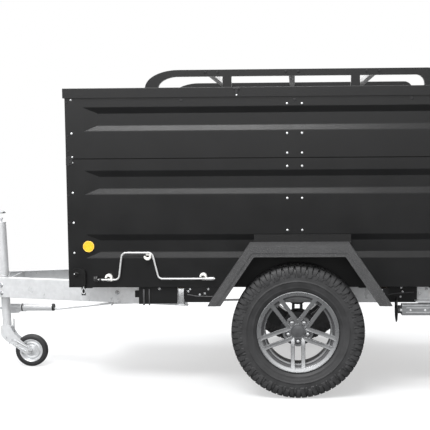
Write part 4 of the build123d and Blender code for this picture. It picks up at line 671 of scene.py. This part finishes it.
def add_side_fasteners(side_name, hand):
    """Bright rivets in columns, dark plugs and the screw heads at the front edge."""
    out = ACROSS * hand
    face = hand * (SIDE_Y + 0.0001)
    rivets = bmesh.new()
    spots = [(BOX_FRONT + mm(35), z) for z in EDGE_RIVETS]
    spots += [(BOX_REAR - mm(35), z) for z in REAR_RIVETS]
    spots += [(AXLE_X + shift, z) for shift in mm(-55, 26) for z in MIDDLE_RIVETS]
    for x, z in spots:
        rivet(rivets, (x, face, z), out, 0.0062, 0.003)
    finish_piece(rivets, f"side_rivets_{side_name}", "chassis", "steel_fitting", "bright_rivet")
    plugs = bmesh.new()
    for dx, z in ((-631, 1600), (-12, 1598), (620, 1600)):
        lathe(plugs, pairs(9, 0, 9, 1.4, 7.6, 2.4, 3, 2.8, 0, 1.6), place(dx, face * 1000, z), out, 20)
    for z in (1592, 1410, 1326, 1284, 1248, 1083, 931):
        lathe(plugs, pairs(6, 0, 6, 1.6, 4.6, 2.8, 0, 2.8), (BOX_FRONT + mm(13), face, mm(z)), out, 6)
    finish_piece(plugs, f"side_plugs_{side_name}", "chassis", "black_plastic")
    # dark lug that bridges the seam at the front edge
    lug = bmesh.new()
    shape = pairs(-9, -26, 24, -26, 28, -18, 28, 15, 20, 24, 2, 24, -9, 10)
    side_plate(lug, shape, (BOX_FRONT + mm(9.5), hand * SIDE_Y, SEAM_Z - mm(8)), hand, *mm(4, 1.2))
    for dx, z in ((14, 9), (14, -14)):
        rivet(lug, (BOX_FRONT + mm(9.5 + dx), hand * (SIDE_Y + mm(4)), SEAM_Z + mm(z - 8)), out, 0.0045, 0.003)
    finish_piece(lug, f"seam_lug_{side_name}", "chassis", "black_plastic")


def add_lid_catch(side_name, hand):
    """A T-shaped rubber lid catch on the skirt, hooked over a bright pin."""
    out = ACROSS * hand
    bm = bmesh.new()
    shape = pairs(-19, 8, -19, 17, 19, 17, 19, 8, 9, 5, 8, -12, 5, -15, -5, -15, -8, -12, -9, 5)
    centre = place(-328, hand * LID_SIDE * 1000, 1646)
    plate(bm, shape, centre, ALONG * -hand, UP, *mm(6, 1.5))
    bar_y = hand * mm(5.5)
    block(bm, centre + Vector((-mm(14), bar_y - mm(2.5), mm(9.5))),
          centre + Vector((mm(14), bar_y + mm(2.5), mm(15.5))), mm(1.6))
    finish_piece(bm, f"lid_catch_{side_name}", "lid_body", "black_plastic")
    pin = bmesh.new()
    lathe(pin, pairs(3.4, 0, 3.4, 7, 5.2, 8, 5.2, 9.6, 4, 10.6, 0, 10.6),
          place(-328, hand * SIDE_Y * 1000, 1625), out, 18)
    finish_piece(pin, f"lid_catch_pin_{side_name}", "chassis", "steel_fitting", "bright_rivet")


RACK_FEET = ((-835, -763), (-407, -358), (294, 343), (693, 766))
RACK_BARS = (-469, -28, 413)


def add_rack_fixings(side_name, hand):
    """Gaskets under the rack's feet and posts, and the screws that hold the crossbars."""
    out = ACROSS * hand
    rail_low, rail_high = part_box(f"rack_rail_{side_name}")
    outer = rail_low[1] if hand < 0 else rail_high[1]
    inner = rail_high[1] if hand < 0 else rail_low[1]
    near, far = min(outer, inner) - mm(2.5), max(outer, inner) + mm(2.5)
    foot_near, foot_far = sorted((inner, inner - hand * mm(30)))
    base, top = LID_TOP + mm(0.1), LID_TOP + mm(5)
    gaskets, screws, feet = bmesh.new(), bmesh.new(), bmesh.new()
    for start, stop in RACK_FEET:
        block(gaskets, (AXLE_X + mm(start - 3), near, base), (AXLE_X + mm(stop + 3), far, top), mm(1.8))
        middle = AXLE_X + mm((start + stop) / 2)
        block(feet, (middle - mm(16), foot_near, base), (middle + mm(16), foot_far, top), mm(1.2))
        hex_bolt(feet, (middle, inner - hand * mm(18), top), UP, *mm(10, 6, 9))
    for middle in RACK_BARS:
        for shift in (-34, 34):
            spot = Vector((AXLE_X + mm(middle + shift), outer, rail_high[2] - mm(15)))
            lathe(screws, pairs(7.4, -0.2, 7.4, 2.2, 6, 4.2, 3.4, 4.4, 2.8, 2.4, 0, 2.4), spot, out, 18)
    finish_piece(gaskets, f"rack_gaskets_{side_name}", "lid_body", "gaiter_rubber")
    finish_piece(screws, f"rack_screws_{side_name}", "lid_body", "black_plastic")
    finish_piece(feet, f"rack_feet_{side_name}", "lid_body", "black_powder_coat")


def add_seam_shade_strips():
    """Thin near-black strips along the seam between the boards and across the front wall: painted shade for the seam's
    shadow gap.
    """
    bm = bmesh.new()
    for _, hand in SIDES:
        inner, outer = sorted((hand * (SIDE_Y - mm(4)), hand * (SIDE_Y + mm(0.5))))
        block(bm, (BOX_FRONT, inner, SEAM_Z - mm(2.8)), (BOX_REAR, outer, SEAM_Z + mm(2.8)), mm(0.5))
    block(bm, (BOX_FRONT - mm(0.5), -SIDE_Y, SEAM_Z - mm(2.8)),
          (BOX_FRONT + mm(4), SIDE_Y, SEAM_Z + mm(2.8)), mm(0.5))
    # The strips are near-black: painted shade in the seam.
    finish_piece(bm, "board_seam_seals", "chassis", "gaiter_rubber", "seal_black")


def add_reflectors():
    """Round amber reflectors with a moulded rim and concentric lens rings."""
    bm, rims = bmesh.new(), bmesh.new()
    for _, hand in SIDES:
        centre = place(-1156, hand * SIDE_Y * 1000, 800)
        rings = [mm(28.4, 3)]
        for step in range(9):
            rings += [mm(27 - step * 3, 6.6), mm(25.5 - step * 3, 6.0)]
        lathe(bm, [*rings, mm(0, 6.4)], centre, ACROSS * hand, 48)
        lathe(rims, pairs(31, 0.1, 31, 5.8, 29.8, 7.4, 28.2, 7.4, 27.6, 6, 27.6, 2), centre,
              ACROSS * hand, 48)
    lens = finish_piece(bm, "side_reflector_lenses", "chassis", "amber_reflector", sharp=10)
    finish_piece(rims, "side_reflector_rims", "chassis", "amber_reflector", "amber_rim")
    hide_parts("side_reflectors")


def bent_line(corners, radius, steps=7):
    """A line through corner points with each corner rounded to a radius."""
    points = [corners[0]]
    for before, here, after in zip(corners, corners[1:], corners[2:]):
        a, b = (before - here).normalized(), (after - here).normalized()
        half = math.acos(max(-1, min(1, a.dot(b)))) / 2
        centre = here + (a + b).normalized() * (radius / math.sin(half))
        start, stop = here + a * (radius / math.tan(half)) - centre, here + b * (radius / math.tan(half)) - centre
        for step in range(steps + 1):
            points.append(centre + start.normalized().slerp(stop.normalized(), step / steps) * radius)
    return [*points, corners[-1]]


def add_crank():
    """The steadies' crank in its off-white hook clips, with a dark knob and a pale sleeve."""
    side = -SIDE_Y * 1000
    rod_y = side - 17
    rod = bmesh.new()
    corners = [place(dx, rod_y, z) for dx, z in ((-1106, 616), (-989, 616), (-969, 766), (-802, 766), (-766, 621),
                                                  (-455, 621))]
    tube(rod, bent_line(corners, mm(26)), mm(5.2), 12)
    lathe(rod, pairs(5, -23, 8, -23, 8.8, -21, 8.8, 21, 8, 23, 5, 23), place(-484, rod_y, 621), ALONG, 24)
    piece = finish_piece(rod, "crank_rod", "chassis", "galvanised_steel", "dull_zinc")
    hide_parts("crank_handle")
    clips = bmesh.new()
    # Each clip is a hooked finger over the rod and a short block under it.
    finger = pairs(-20, -7, -12, -7, -12, 6, -8, 14, 0, 18, 8, 16, 11, 9, 20, 9, 20, 18, 15, 27, 4, 33, -9, 31,
            -18, 22, -21, 10)
    base = pairs(-8, -8, 12, -8, 14, -4, 14, 5, 10, 8, -6, 8, -10, 5, -10, -4)
    for dx, z, drop in ((-1045, 616, 1), (-827, 757, -1), (-520, 621, 1)):
        plate(clips, [(-x, y * drop) for x, y in finger], place(dx, side, z), ALONG, UP, *mm(25, 3))
        plate(clips, base, place(dx, side, z), ALONG, UP, *mm(11, 2))
    piece = finish_piece(clips, "crank_hook_clips", "chassis", "white_plastic")
    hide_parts("crank_clips")
    knob = bmesh.new()
    lathe(knob, pairs(0, -12, 11, -12, 15.5, -9, 16.6, -2, 14.4, 0, 16.6, 2, 16.6, 8, 12, 11, 0, 11.6),
          place(-1116, rod_y, 621), ALONG, 28)
    for shift in (6, 13):
        lathe(knob, pairs(0, 0, 7.4, 0, 8.6, 1.5, 8.6, 4.6, 7.4, 6, 0, 6),
              place(-1104 + shift, rod_y, 616), ALONG, 24)
    finish_piece(knob, "crank_knob", "chassis", "galvanised_steel", "dark_grey")


OVAL_POWER = 0.7


def add_corners(side_name, hand):
    """A moulded corner bumper with ribs, a bright rivet and a lashing ring under it."""
    side = hand * SIDE_Y * 1000
    out = ACROSS * hand
    bm = bmesh.new()
    # A squarish oval, stepped twice towards a domed middle.
    for half, base, rise in ((42, 0, 7), (37, 6, 6), (29, 11, 5)):
        oval = []
        for turn in (math.tau * step / 36 for step in range(36)):
            cos, sin = (math.copysign(abs(wave) ** OVAL_POWER, wave) for wave in (math.cos(turn), math.sin(turn)))
            oval.append((mm(half) * cos, mm(half + 2) * sin))
        plate(bm, oval, place(-1217, side + hand * base, 621), ALONG * -hand, UP, mm(rise), mm(4))
    for step, z in enumerate((596, 613, 630, 647)):
        start = place(-1246, side + hand * 15, z)
        end = place(-1192 + step * 2, side + hand * 15, z)
        tube(bm, [start, start.lerp(end, 0.5), end], mm(2.2, 4.4, 2.2), 10)
    hub = place(-1226, side + hand * 13, 645)
    lathe(bm, pairs(20, 0, 19, 4, 15, 7, 9, 7.6, 7, 5, 0, 5), hub, out, 28)
    finish_piece(bm, f"corner_bumper_{side_name}", "chassis", "black_plastic", "corner_black")
    bright = bmesh.new()
    rivet(bright, place(-1241, side + hand * 13.2, 588), out, *mm(6, 3))
    rivet(bright, place(-1236, side + hand * 19, 648), out, *mm(4, 2.4))
    # lashing ring: eye, shackle and ring
    lathe(bright, pairs(7, 0, 7, 5, 5, 6.4, 0, 6.4), place(-1189, side + hand * 1, 577), out, 18)
    ring = [place(-1189 + 9.5 * math.sin(a), side + hand * 6, 551 + 15 * math.cos(a))
            for a in (step * math.tau / 20 for step in range(21))]
    tube(bright, ring, mm(3), 8)
    tube(bright, [place(-1189, side + hand * shift, z) for shift, z in ((4, 580), (7, 572), (6, 564))], mm(4), 10)
    finish_piece(bright, f"lashing_ring_{side_name}", "chassis", "steel_fitting", "bright_rivet")


# ------------------------------------------------------------------ drawbar and jockey wheel
TUBE_UP_DIR = Vector(JOINTS["jockey_lift"]["axis"]).normalized()
if TUBE_UP_DIR.z < 0:
    TUBE_UP_DIR = -TUBE_UP_DIR
JOCKEY_HUB = Vector(JOINTS["jockey_wheel_spin"]["pos_m"])
SWIVEL = Vector(JOINTS["jockey_swivel"]["pos_m"])


def on_tube(z):
    """The point on the jockey tube's own line at a height."""
    return SWIVEL + TUBE_UP_DIR * ((z - SWIVEL.z) / TUBE_UP_DIR.z)


def add_jockey_wheel():
    """A solid rubber tyre with a ribbed tread on a pressed steel disc."""
    bm = bmesh.new()
    section = pairs(71, 19, 73, 21.4, 78, 22, 86, 21.6, 92, 19.6, 96.4, 15.8, 99.0, 11.4, 99.3, 9.4, 97.2, 8.8,
            97.2, 6.8, 99.7, 6.2, 99.9, 1.6, 97.8, 1, 97.8, -1)
    half = section[:-1]
    profile = half + [(r, -o) for r, o in reversed(half)]
    lathe(bm, [*profile, mm(69, -19), mm(69, 19), profile[0]], JOCKEY_HUB, ACROSS, 96)
    weld(bm)
    for step in range(72):
        angle = step * math.tau / 72
        for hand in (-1, 1):
            rows = [(mm(97.4), 12.6), (mm(93.2), 18.8), (mm(88), 21.6)]
            t, f = [], []
            for store, half_angle, sink, rise in ((t, 0.013, 0, 0.7), (f, 0.024, mm(0.6), -0.8)):
                for radius, offset in rows:
                    for turn in (angle - half_angle, angle + half_angle):
                        spot = Vector((math.sin(turn), 0, math.cos(turn))) * (radius - sink)
                        store.append(bm.verts.new(JOCKEY_HUB + spot + ACROSS * (hand * mm(offset + rise))))
            for a, b, c, d in ((0, 1, 3, 2), (2, 3, 5, 4)):
                bm.faces.new((t[a], t[b], t[c], t[d]))
            for a, b in ((0, 2), (2, 4), (4, 5), (5, 3), (3, 1), (1, 0)):
                bm.faces.new((t[a], t[b], f[b], f[a]))
    tyre = finish_piece(bm, "jockey_wheel_tyre", "jockey_wheel", "tyre_rubber", "jockey_rubber", sharp=40)
    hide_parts("jockey_tyre")

    bm = bmesh.new()
    disc = pairs(10, 22, 13, 22, 14, 14, 20, 12, 27, 12, 30, 8, 36, 7, 41, 9.6, 47, 10.2, 52, 7, 56, 6.4, 60, 10,
            63, 17.6, 66.6, 20.2, 70.6, 20.4, 71, 18, 69, 16)
    for hand in (-1, 1):
        lathe(bm, [*disc, mm(69, 0)], JOCKEY_HUB, ACROSS * hand, 72)
        for step in range(4):
            angle = math.radians(45 + 90 * step)
            spot = JOCKEY_HUB + Vector((mm(34) * math.sin(angle), hand * mm(7), mm(34) * math.cos(angle)))
            hex_bolt(bm, spot, ACROSS * hand, *mm(10, 5, 8))
    lathe(bm, [mm(6.4, -34), mm(6.4, 34)], JOCKEY_HUB, ACROSS, 16)
    disc_piece = finish_piece(bm, "jockey_wheel_disc", "jockey_wheel", "jockey_rim_steel")
    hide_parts("jockey_rim")
    bm = bmesh.new()
    lathe(bm, pairs(4.2, 34, 4.2, 35.2, 0, 35.4), JOCKEY_HUB, -ACROSS, 12)
    finish_piece(bm, "jockey_hub_plug", "jockey_wheel", "black_plastic")


def add_fork_details():
    """Rivets on the fork's crown, ribs down its plates, axle nuts and the swivel's upright pin."""
    bm = bmesh.new()
    low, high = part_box("jockey_fork")
    for hand, side in ((-1, low[1]), (1, high[1])):
        out = ACROSS * hand
        for dx, z, size in ((-1793, 185, 4.2), (-1774, 150, 4.6), (-1757, 170, 3.6)):
            rivet(bm, place(dx, side * 1000, z), out, mm(size), mm(2.4))
        start, end = place(-1748, side * 1000, 158), JOCKEY_HUB.copy()
        end.y = side
        run = (end - start).normalized()
        across = UP.cross(run).cross(run).normalized()
        for shift in (across * mm(-13), across * mm(13)):
            tube(bm, [start + shift, start.lerp(end, 0.5) + shift, end - run * mm(20) + shift], mm(2, 3.2, 2), 8)
        hub_face = JOCKEY_HUB.copy()
        hub_face.y = side
        lathe(bm, pairs(13.5, 0, 13.5, 2, 12.5, 3, 0, 3), hub_face, out, 24)
        hex_bolt(bm, hub_face + out * mm(3), out, *mm(17, 6))
    pin = place(-1752, -89.7, 0)
    lathe(bm, pairs(0, 212, 4.4, 212, 4.6, 292, 3.4, 296, 0, 297), (pin.x, pin.y, 0), UP, 14)
    finish_piece(bm, "jockey_fork_fixings", "jockey_fork_body", "galvanised_steel", "bright_zinc")


def add_jockey_tube_details():
    """The collars round the jockey tube, at its clamp and near its top."""
    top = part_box("jockey_outer_tube")[1][2]
    bm = bmesh.new()
    clamp_low, clamp_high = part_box("jockey_clamp")
    for z in (clamp_low[2] + mm(12), clamp_high[2] - mm(12)):
        spot = on_tube(z)
        lathe(bm, pairs(31.2, -2.4, 33, -1.4, 33, 1.4, 31.2, 2.4), spot, TUBE_UP_DIR, 40)
    spot = on_tube(top - mm(40))
    lathe(bm, pairs(30.2, 0, 31.4, 1.6, 31.4, 10, 30.2, 11.6), spot, TUBE_UP_DIR, 40)
    finish_piece(bm, "jockey_tube_collars", "chassis", "galvanised_steel", "bright_zinc")


def add_drawbar_fixings():
    """Bolts through the drawbar beams, seen as head and washer outside."""
    bolts = bmesh.new()
    turn = math.radians(15.5)
    for _, hand in SIDES:
        out = Vector((-math.sin(turn), hand * math.cos(turn), 0))
        for dx, z in ((-2160, 475), (-2160, 531), (-2096, 475), (-2096, 531), (-1797, 467), (-1797, 517), (-1050, 503),
                      (-700, 470), (-700, 540)):
            side = (60 + (dx + 2200) * math.tan(turn)) * hand
            hex_bolt(bolts, place(dx, side, z), out, *mm(16, 8, 13))
    finish_piece(bolts, "drawbar_bolts", "chassis", "steel_fitting", "bright_zinc")


def add_brake_bracket():
    """A bolted bracket that carries the brake cylinder, and the cylinder's dark rings."""
    bm = bmesh.new()
    outline = pairs(0, 4, 4, 0, 60, 3, 68, 12, 68, 40, 60, 46, 10, 50, 0, 44)
    for hand in (-1, 1):
        side_plate(bm, outline, place(-1797, hand * 22, 318), hand, *mm(3, 0.8))
        for dx, z in ((-1786, 352), (-1768, 338), (-1748, 352)):
            lathe(bm, pairs(7, 0, 7, 1.6, 5.6, 2.4, 4.4, 1.0, 0, 1.0), place(dx, hand * 25, z), ACROSS * hand, 20)
    finish_piece(bm, "brake_bracket", "chassis", "galvanised_steel")
    bm = bmesh.new()
    end = place(-1730 + 211, 0, 352)
    lathe(bm, pairs(21.4, -14, 22.6, -13, 22.6, -1, 20.4, 1, 11, 1.4, 9, 1.4), end, ALONG, 32)
    lathe(bm, pairs(22.3, 0, 23.4, 1, 23.4, 7, 22.3, 8), place(-1724, 0, 352), ALONG, 32)
    finish_piece(bm, "brake_cylinder_caps", "chassis", "black_plastic")


# ------------------------------------------------------------------ brackets, axle and steadies
def add_bracket_fixings(side_name, hand):
    """Bright bolts and pressed ribs on the black brackets and the rail, and the zinc upright between them."""
    out = ACROSS * hand
    bolts = bmesh.new()
    plate_face = hand * 611
    hex_bolt(bolts, place(-769, plate_face, 560), out, *mm(9, 4, 7))
    box_face = hand * SIDE_Y * 1000
    for dx, z in ((-606, 548), (-596, 560), (-514, 536), (-494, 560), (-542, 530)):
        hex_bolt(bolts, place(dx, box_face, z), out, *mm(8, 4, 6.4))
    rail_face = hand * 525
    for dx, z in ((462, 552), (580, 552), (476, 520), (588, 530), (576, 500)):
        hex_bolt(bolts, place(dx, hand * (631 if dx < 498 else 525), z), out, *mm(8, 4, 6.4))
    for dx, z in ((684, 515), (1120, 515), (720, 545), (960, 545)):
        hex_bolt(bolts, place(dx, hand * (526 if 676 < dx < 1005 and z < 555 else 520), z), out, *mm(10, 5, 8))
    finish_piece(bolts, f"bracket_bolts_{side_name}", "chassis", "steel_fitting", "bright_zinc")
    ribs = bmesh.new()
    tube(ribs, line(box_face + hand, -612, 531, -560, 521, -432, 518), mm(3), 8)
    tube(ribs, line(rail_face + hand, 506, 512, 560, 520, 650, 526), mm(3), 8)
    for dx, wide in ((-861, 9), (-829, 6)):
        block(ribs, place(dx, hand * 614 - 5, 468), place(dx + wide, hand * 614 + 5, 558), mm(1.2))
    # The ribs are lighter than the powder coat round them: painted highlight where they catch the light.
    finish_piece(ribs, f"bracket_ribs_{side_name}", "chassis", "black_powder_coat", "worn_black")
    zinc = bmesh.new()
    block(zinc, place(-668, hand * 560 - 40, 466), place(-634, hand * 560 + 40, 560), mm(1.5))
    for z in (466, 556):
        block(zinc, place(-668, hand * 596 - 8, z), place(-628, hand * 596 + 8, z + 4), mm(1.2))
    finish_piece(zinc, f"zinc_upright_{side_name}", "chassis", "galvanised_steel", "bright_zinc")


def add_steady_details(side_name, hand):
    """The steady's foot joint, end cap, screws, pressed groove and dished foot."""
    body = f"steady_{side_name}"
    low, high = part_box(f"steady_leg_{side_name}")
    middle_y = (low[1] + high[1]) / 2
    middle_z = (low[2] + high[2]) / 2
    dark, bright = bmesh.new(), bmesh.new()
    foot_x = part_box(f"steady_foot_{side_name}")[1][0]
    for shift in (-14, 14):
        block(dark, (foot_x - mm(2), middle_y - mm(24), middle_z + mm(shift - 5)),
              (foot_x + mm(30), middle_y + mm(24), middle_z + mm(shift + 5)), mm(2))
    lathe(bright, [mm(6, -27), mm(6, 27)], (foot_x + mm(16), middle_y, middle_z), ACROSS, 14)
    for end in (-27, 27):
        hex_bolt(bright, (foot_x + mm(16), middle_y + mm(end), middle_z), ACROSS * end, *mm(13, 4.4))
    cap = pairs(-29.5, -29.5, 29.5, -29.5, 29.5, 29.5, -29.5, 29.5)
    plate(dark, cap, (high[0] - mm(0.5), middle_y, middle_z), ACROSS, UP, *mm(5, 2))
    side = low[1] if hand < 0 else high[1]
    for dx in (620, 700, 780):
        lathe(bright, pairs(5.5, 0, 5.5, 1.4, 4.2, 2.2, 0, 1), (AXLE_X + mm(dx), side, middle_z), ACROSS * hand, 16)
    # a pressed groove's two edges along the tube
    for z in (-12, 12):
        tube(bright, [(low[0] + mm(44), side, middle_z + mm(z)), ((low[0] + high[0]) / 2, side, middle_z + mm(z)),
                      (high[0] - mm(20), side, middle_z + mm(z))], mm(1.4), 6)
    finish_piece(dark, f"steady_joint_{side_name}", body, "cast_steel")
    finish_piece(bright, f"steady_pins_{side_name}", body, "galvanised_steel")
    # dished foot with a rolled rim and ribs
    foot = bmesh.new()
    lathe(foot, pairs(0, -1.2, 22, -1.2, 28, -3.2, 52, -6.4, 60, -9.2, 66, -9.8, 69.6, -9.2, 69.9, -7, 69, -5.4,
            65, -6, 60, -6, 51, -3, 27, 0, 0, 0),
          (foot_x, middle_y, middle_z), ALONG, 56)
    piece = finish_piece(foot, f"steady_dish_{side_name}", body, "black_powder_coat")
    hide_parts(f"steady_foot_{side_name}")


def add_axle_details(side_name, hand):
    """Pressed rings on the brake backplate and the two clamp bolts near the axle's end."""
    bm = bmesh.new()
    drum_low, drum_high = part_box(f"brake_drum_{side_name}")
    drum_y = drum_low[1] if hand > 0 else drum_high[1]
    for radius in (60, 82):
        tube(bm, ring_of(Vector((AXLE_X, drum_y - hand * mm(8), AXLE_Z)), mm(radius), 40), mm(2.6), 6)
    finish_piece(bm, f"backplate_ribs_{side_name}", "chassis", "cast_steel")
    bolts = bmesh.new()
    beam_low, beam_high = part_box("axle_beam")
    end = beam_low[1] if hand < 0 else beam_high[1]
    for dx in (-26, 26):
        spot = Vector(((beam_low[0] + beam_high[0]) / 2 + mm(dx), end - hand * mm(40), beam_high[2]))
        hex_bolt(bolts, spot, UP, *mm(17, 10, 15))
    finish_piece(bolts, f"axle_bolts_{side_name}", "chassis", "steel_fitting", "bright_zinc")


# ------------------------------------------------------------------ mudguards and rear
def add_mudguard_details(side_name, hand):
    """The screws through the mudguard's feet."""
    low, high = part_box(f"mudguard_{side_name}")
    face = low[1] if hand < 0 else high[1]
    bm = bmesh.new()
    for dx, z in ((-440, 548), (-418, 570), (430, 548), (452, 570)):
        rivet(bm, place(dx * 0.985 + 8, (face - hand * mm(3)) * 1000, z), ACROSS * hand, *mm(5, 2.6))
    # The screw heads are lighter than the mudguard: painted highlight.
    finish_piece(bm, f"mudguard_screws_{side_name}", "chassis", "black_powder_coat", "worn_black")


LENS_STEPS = 7


def add_rear():
    """Lamp lenses in three colours, a bare number plate, the latches and the end walls' rivets."""
    red, amber, clear, frames = bmesh.new(), bmesh.new(), bmesh.new(), bmesh.new()
    low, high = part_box("tail_lamps")
    back = high[0]
    for _, hand in SIDES:
        inner, outer = hand * (SIDE_Y - mm(221)), hand * (SIDE_Y - mm(14))
        span = outer - inner
        for bucket, start, stop in ((clear, 0.06, 0.25), (red, 0.27, 0.66), (amber, 0.68, 0.94)):
            y0, y1 = sorted((inner + span * start, inner + span * stop))
            block(bucket, (back - mm(9), y0, low[2] + mm(7)), (back, y1, high[2] - mm(7)), mm(4))
            for step in range(1, LENS_STEPS):
                z = low[2] + mm(7) + (high[2] - low[2] - mm(14)) * step / LENS_STEPS
                block(bucket, (back - mm(3), y0 + mm(3), z - mm(1.1)),
                      (back - mm(0.2), y1 - mm(3), z + mm(1.1)), mm(0.5))
        y0, y1 = sorted((inner, outer))
        block(frames, (back - mm(33.5), y0, low[2]), (back - mm(7), y1, high[2]), mm(5))
    housing = finish_piece(frames, "lamp_housings", "chassis", "black_plastic")
    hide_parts("tail_lamps")
    finish_piece(red, "red_lamp_lenses", "chassis", "red_lens")
    finish_piece(amber, "amber_lamp_lenses", "chassis", "amber_reflector", "amber_lens")
    finish_piece(clear, "clear_lamp_lenses", "chassis", "red_lens", "clear_lens")
    # bare plate in a moulded frame
    plate_low, plate_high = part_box("number_plate_holder")
    bm = bmesh.new()
    back, foot = plate_high[0], plate_low[2]
    block(bm, (back - mm(20.4), -mm(257), foot + mm(4)), (back - mm(18.6), mm(257), foot + mm(113)), mm(0.8))
    finish_piece(bm, "blank_plate", "chassis", "steel_fitting", "blank_plate")
    bm = bmesh.new()
    for y0, y1, z0, z1 in ((-262, -258.5, 1, 117), (258.5, 262, 1, 117), (-262, 262, 0.5, 4),
                           (-262, 262, 113.6, 117.1)):
        block(bm, (back - mm(20.4), mm(y0), foot + mm(z0)), (back - mm(16), mm(y1), foot + mm(z1)), mm(1))
    finish_piece(bm, "plate_frame", "chassis", "black_plastic")
    # tailgate latches: a lever on a plate, with screws
    latch_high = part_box("tailgate_latches")[1]
    bm, screws = bmesh.new(), bmesh.new()
    for _, hand in SIDES:
        y = hand * (latch_high[1] - mm(20))
        top = latch_high[2]
        outline = pairs(-20, 4, -16, 0, 16, 0, 20, 4, 20, 132, 16, 136, -16, 136, -20, 132)
        plate(bm, outline, (BOX_REAR, y, top - mm(136)), ACROSS, UP, *mm(4.6, 1.2))
        lever = pairs(-9, 14, -6, 8, 6, 8, 9, 14, 7, 100, 9, 122, -9, 122, -7, 100)
        plate(bm, lever, (BOX_REAR + mm(4.6), y, top - mm(136)), ACROSS, UP, *mm(10, 2.5))
        lathe(bm, [mm(9, -14), mm(9, 14)], (BOX_REAR + mm(7), y, top - mm(16)), ACROSS, 20)
        for dy, dz in ((-14, -8), (14, -8), (-14, -128), (14, -128)):
            rivet(screws, (BOX_REAR + mm(4.6), y + mm(dy), top + mm(dz)), ALONG, *mm(3.6, 2))
    latch = finish_piece(bm, "tailgate_latch_levers", "tailgate_body", "steel_fitting")
    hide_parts("tailgate_latches")
    finish_piece(screws, "tailgate_latch_screws", "tailgate_body", "steel_fitting", "bright_rivet")
    # rivets along the rear frame, the tailgate and the front wall
    rivets = bmesh.new()
    for _, hand in SIDES:
        for z in (640, 764, 931, 1097, 1240, 1330, 1460, 1600):
            for x, out in ((BOX_REAR, ALONG), (BOX_FRONT, -ALONG)):
                rivet(rivets, (x, hand * (SIDE_Y - mm(52)), mm(z)), out, *mm(5.5, 2.6))
    finish_piece(rivets, "end_rivets", "chassis", "steel_fitting", "bright_rivet")


# ------------------------------------------------------------------ the whole trailer and its studio
for side_name, hand in SIDES:
    wheel_hub = Vector((AXLE_X, hand * abs(WHEEL_Y), AXLE_Z))
    make_tyre(f"all_terrain_tyre_{side_name}", f"wheel_{side_name}", f"tyre_{side_name}", wheel_hub)
    make_rim(f"alloy_rim_{side_name}", f"wheel_{side_name}", f"rim_{side_name}", wheel_hub, hand)
    for add_pair in (add_side_fasteners, add_lid_catch, add_rack_fixings, add_corners, add_bracket_fixings,
                     add_steady_details, add_axle_details, add_mudguard_details):
        add_pair(side_name, hand)
for add_part in (add_seam_shade_strips, add_reflectors, add_crank, add_jockey_wheel, add_fork_details, add_jockey_tube_details,
                 add_drawbar_fixings, add_brake_bracket, add_rear, add_camera, add_stage, dress_nodes):
    add_part()
